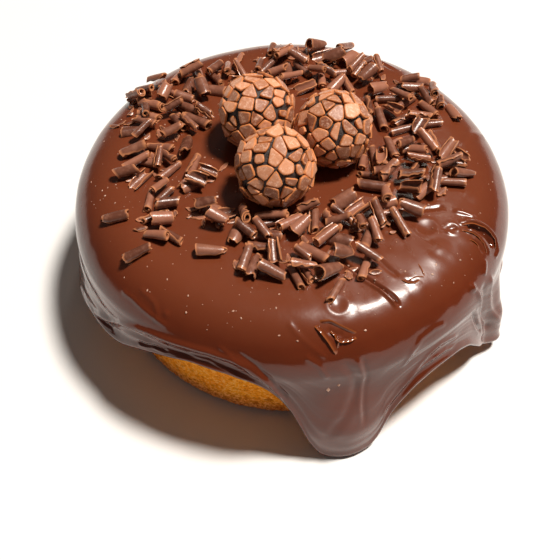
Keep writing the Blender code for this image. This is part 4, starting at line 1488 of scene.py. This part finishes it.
def flake_centres(seed):
    """Directions of the flakes: an even spiral over the ball, each pushed a little aside."""
    draw = random.Random(seed)
    golden = math.pi * (3.0 - math.sqrt(5.0))
    spin = draw.uniform(0.0, math.tau)
    centres = []
    for number in range(FLAKES_ON_TRUFFLE):
        rise = 1.0 - 2.0 * (number + 0.5) / FLAKES_ON_TRUFFLE
        out = math.sqrt(1.0 - rise * rise)
        turn = golden * number + spin
        push = Vector([draw.gauss(0.0, FLAKE_JITTER) for _ in range(3)])
        centre = Vector((out * math.cos(turn), out * math.sin(turn), rise)) + push
        centres.append(centre.normalized())
    return centres


def flake_patches(centres):
    """For each flake, the directions of its corners in order round it."""
    hull = bmesh.new()
    for centre in centres:
        hull.verts.new(centre)
    bmesh.ops.convex_hull(hull, input=hull.verts)
    hull.faces.index_update()
    hull.normal_update()
    patches = []
    for vertex in hull.verts:
        centre = vertex.co.normalized()
        east = centre.orthogonal().normalized()
        north = centre.cross(east)
        corners = []
        for face in vertex.link_faces:
            way = face.normal if face.normal.dot(centre) > 0 else -face.normal
            corners.append(way.copy())
        corners.sort(key=lambda way: math.atan2(way.dot(north), way.dot(east)))
        patches.append(corners)
    hull.free()
    return patches


# %% [markdown]
# ### One flake
#
# A flake is built from six rings: a narrower one below, two up its edge, two over the rounding to the
# top, and a last one on the top. The number it carries says how near its edge a point is, for the
# lighter caramel-coloured rim, a painted highlight where the edges catch the light.


# %% Break one flake
def angle_at(point, before, after):
    return (before - point).angle(after - point, 0.0)


def fewer_corners(corners, wanted):
    """Drops the bluntest corners until only the wanted number is left."""
    corners = list(corners)
    while len(corners) > wanted:
        bluntest = max(
            range(len(corners)),
            key=lambda i: angle_at(corners[i], corners[i - 1], corners[(i + 1) % len(corners)]),
        )
        corners.pop(bluntest)
    return corners


def flake_outline(corners, middle, draw):
    """Points round the flake on the ball's tangent plane: few corners, each one rounded off."""
    flat = [way * (TRUFFLE_RADIUS / way.dot(middle)) for way in corners]
    flat = fewer_corners(flat, draw.choice((4, 4, 5, 5, 5, 6)))
    centre = sum(flat, Vector()) / len(flat)
    shrink = draw.uniform(0.10, 0.45) * MM
    size = draw.uniform(0.70, 0.85) if draw.random() < 0.12 else draw.uniform(0.97, 1.06)
    drawn = []
    for point in flat:
        inwards = centre - point
        drawn.append(centre - inwards * (size - shrink * 1.3 / inwards.length))
    outline = []
    for number, point in enumerate(drawn):
        before, after = drawn[number - 1], drawn[(number + 1) % len(drawn)]
        cut = draw.uniform(0.8, 1.5) * MM
        first = point + (before - point) * min(cut / (before - point).length, 0.45)
        last = point + (after - point) * min(cut / (after - point).length, 0.45)
        outline += [first, (first + last) * 0.2 + point * 0.6, last]
    return outline, centre


# Rings of a flake: (depth under its top and distance inwards in mm, how near the edge). The
# first ring is its underside, so its depth is the flake's own thickness.
FLAKE_RINGS = (
    (None, 0.25, 0.4), (0.5, 0.0, 0.8), (0.24, 0.03, 1.0),
    (0.08, 0.16, 1.0), (0.0, 0.38, 0.5), (-0.02, 0.8, 0.0),
)  # fmt: skip
# Least and most in mm, and the usual tilt in degrees.
FLAKE_THICKNESS = (1.0, 1.35)
FLAKE_LIFT = (-0.45, 0.40)
FLAKE_TILT = 9.0
FLAKE_MIDDLE_LIFT = 0.03 * MM


def break_flake(corners, draw):
    middle = (sum(corners, Vector()) / len(corners)).normalized()
    outline, centre = flake_outline(corners, middle, draw)
    thickness = draw.uniform(*FLAKE_THICKNESS) * MM
    lift = draw.uniform(*FLAKE_LIFT) * MM
    axis = middle.orthogonal().normalized()
    axis.rotate(Matrix.Rotation(draw.uniform(0.0, math.tau), 3, middle))
    tilt = Matrix.Rotation(math.radians(draw.gauss(0.0, FLAKE_TILT)), 3, axis)
    points, edges = [], []
    for depth, inwards, edge in FLAKE_RINGS:
        drop = thickness if depth is None else depth * MM
        for point in outline:
            from_centre = point - centre
            pulled = from_centre * (1.0 - min(inwards * MM / from_centre.length, 0.6))
            points.append(tilt @ pulled + centre + middle * (lift - drop))
            edges.append(edge)
    around = len(outline)
    points.append(centre + middle * (lift - thickness))
    points.append(centre + middle * (lift + FLAKE_MIDDLE_LIFT))
    edges += [0.0, 0.0]
    faces = []
    last = (len(FLAKE_RINGS) - 1) * around
    for number in range(around):
        after = (number + 1) % around
        faces.append((len(points) - 2, after, number))
        faces.append((len(points) - 1, last + number, last + after))
        for ring in range(len(FLAKE_RINGS) - 1):
            low, high = ring * around, (ring + 1) * around
            faces.append((low + number, low + after, high + after, high + number))
    return points, faces, edges


# %% [markdown]
# ### Colours of a truffle
#
# The flakes are milk chocolate with a pinkish, slightly sugary bloom on top. Their edges are painted a
# lighter orange-brown, a painted highlight where they catch the light. The ball that shows in the
# joints is nearly black, dull and grainy.


# %% Finishes of the flakes and of the ball
DARK_FLAKE, PALE_FLAKE = (0.23, 0.070, 0.030), (0.76, 0.335, 0.178)
# The edge colour is a painted highlight where the flake edges catch the light.
FLAKE_BLOOM, FLAKE_EDGE_HIGHLIGHT = (0.88, 0.56, 0.41), (0.62, 0.205, 0.055)
BALL_DARK, BALL_GRAIN = (0.018, 0.010, 0.008), (0.085, 0.058, 0.050)


def flake_finish():
    flake = Finish("flake_chocolate", 0.45)
    body = flake.blend(flake.number("tone"), DARK_FLAKE, PALE_FLAKE)
    bloom = flake.stretch(flake.noise(0.0013, detail=6.0, roughness=0.75), 0.5, 0.66, 0.0, 0.7)
    top = flake.blend(bloom, body, FLAKE_BLOOM)
    # Edges painted lighter orange-brown: a painted highlight.
    rim = flake.stretch(flake.number("rim"), 0.2, 1.0, 0.0, 0.9)
    flake.colour(flake.blend(rim, top, FLAKE_EDGE_HIGHLIGHT))
    flake.relief(flake.noise(0.0009, detail=4.0), 0.00018)
    return flake.material


def ball_finish():
    ball = Finish("truffle_ball", 0.6)
    pale_grains = ball.stretch(ball.noise(0.0007), 0.4, 0.75)
    ball.colour(ball.blend(pale_grains, BALL_DARK, BALL_GRAIN))
    ball.relief(ball.noise(0.0006), 0.0003)
    return ball.material


flake_chocolate = flake_finish()
truffle_ball = ball_finish()


# %% Roll each ball in its flakes
BALL_RADIUS = TRUFFLE_RADIUS - 1.05 * MM
BALL_WAVES, BALL_SHIFT = 900.0, 1000.0
BALL_ROUGHNESS = 0.22 * MM


def press_flat(point):
    """Nothing of a truffle goes below the ganache that it sits on."""
    point.z = max(point.z, TOP_HEIGHT + GAP)
    return point


def make_ball(name, x, y):
    rough = bmesh.new()
    bmesh.ops.create_icosphere(rough, subdivisions=5, radius=BALL_RADIUS)
    centre = truffle_centre(x, y)
    for vertex in rough.verts:
        grain = noise.noise(vertex.co * BALL_WAVES + centre * BALL_SHIFT)
        vertex.co *= 1.0 + grain * BALL_ROUGHNESS / BALL_RADIUS
    points = [press_flat(vertex.co + centre) for vertex in rough.verts]
    faces = [tuple(vertex.index for vertex in face.verts) for face in rough.faces]
    rough.free()
    make_piece(name + "_ball", points, faces, truffle_ball, "truffle", name)


def make_flakes(name, x, y, seed):
    draw = random.Random(seed + 100)
    centre = truffle_centre(x, y)
    skins = []
    for corners in flake_patches(flake_centres(seed)):
        points, faces, edges = break_flake(corners, draw)
        points = [press_flat(point + centre) for point in points]
        skins.append((points, faces, edges, draw.random()))
    join_skins(name + "_flakes", skins, flake_chocolate, "truffle", name, 35.0)


for truffle_name, truffle_x, truffle_y, truffle_seed in TRUFFLES:
    make_ball(truffle_name, truffle_x, truffle_y)
    make_flakes(truffle_name, truffle_x, truffle_y, truffle_seed)
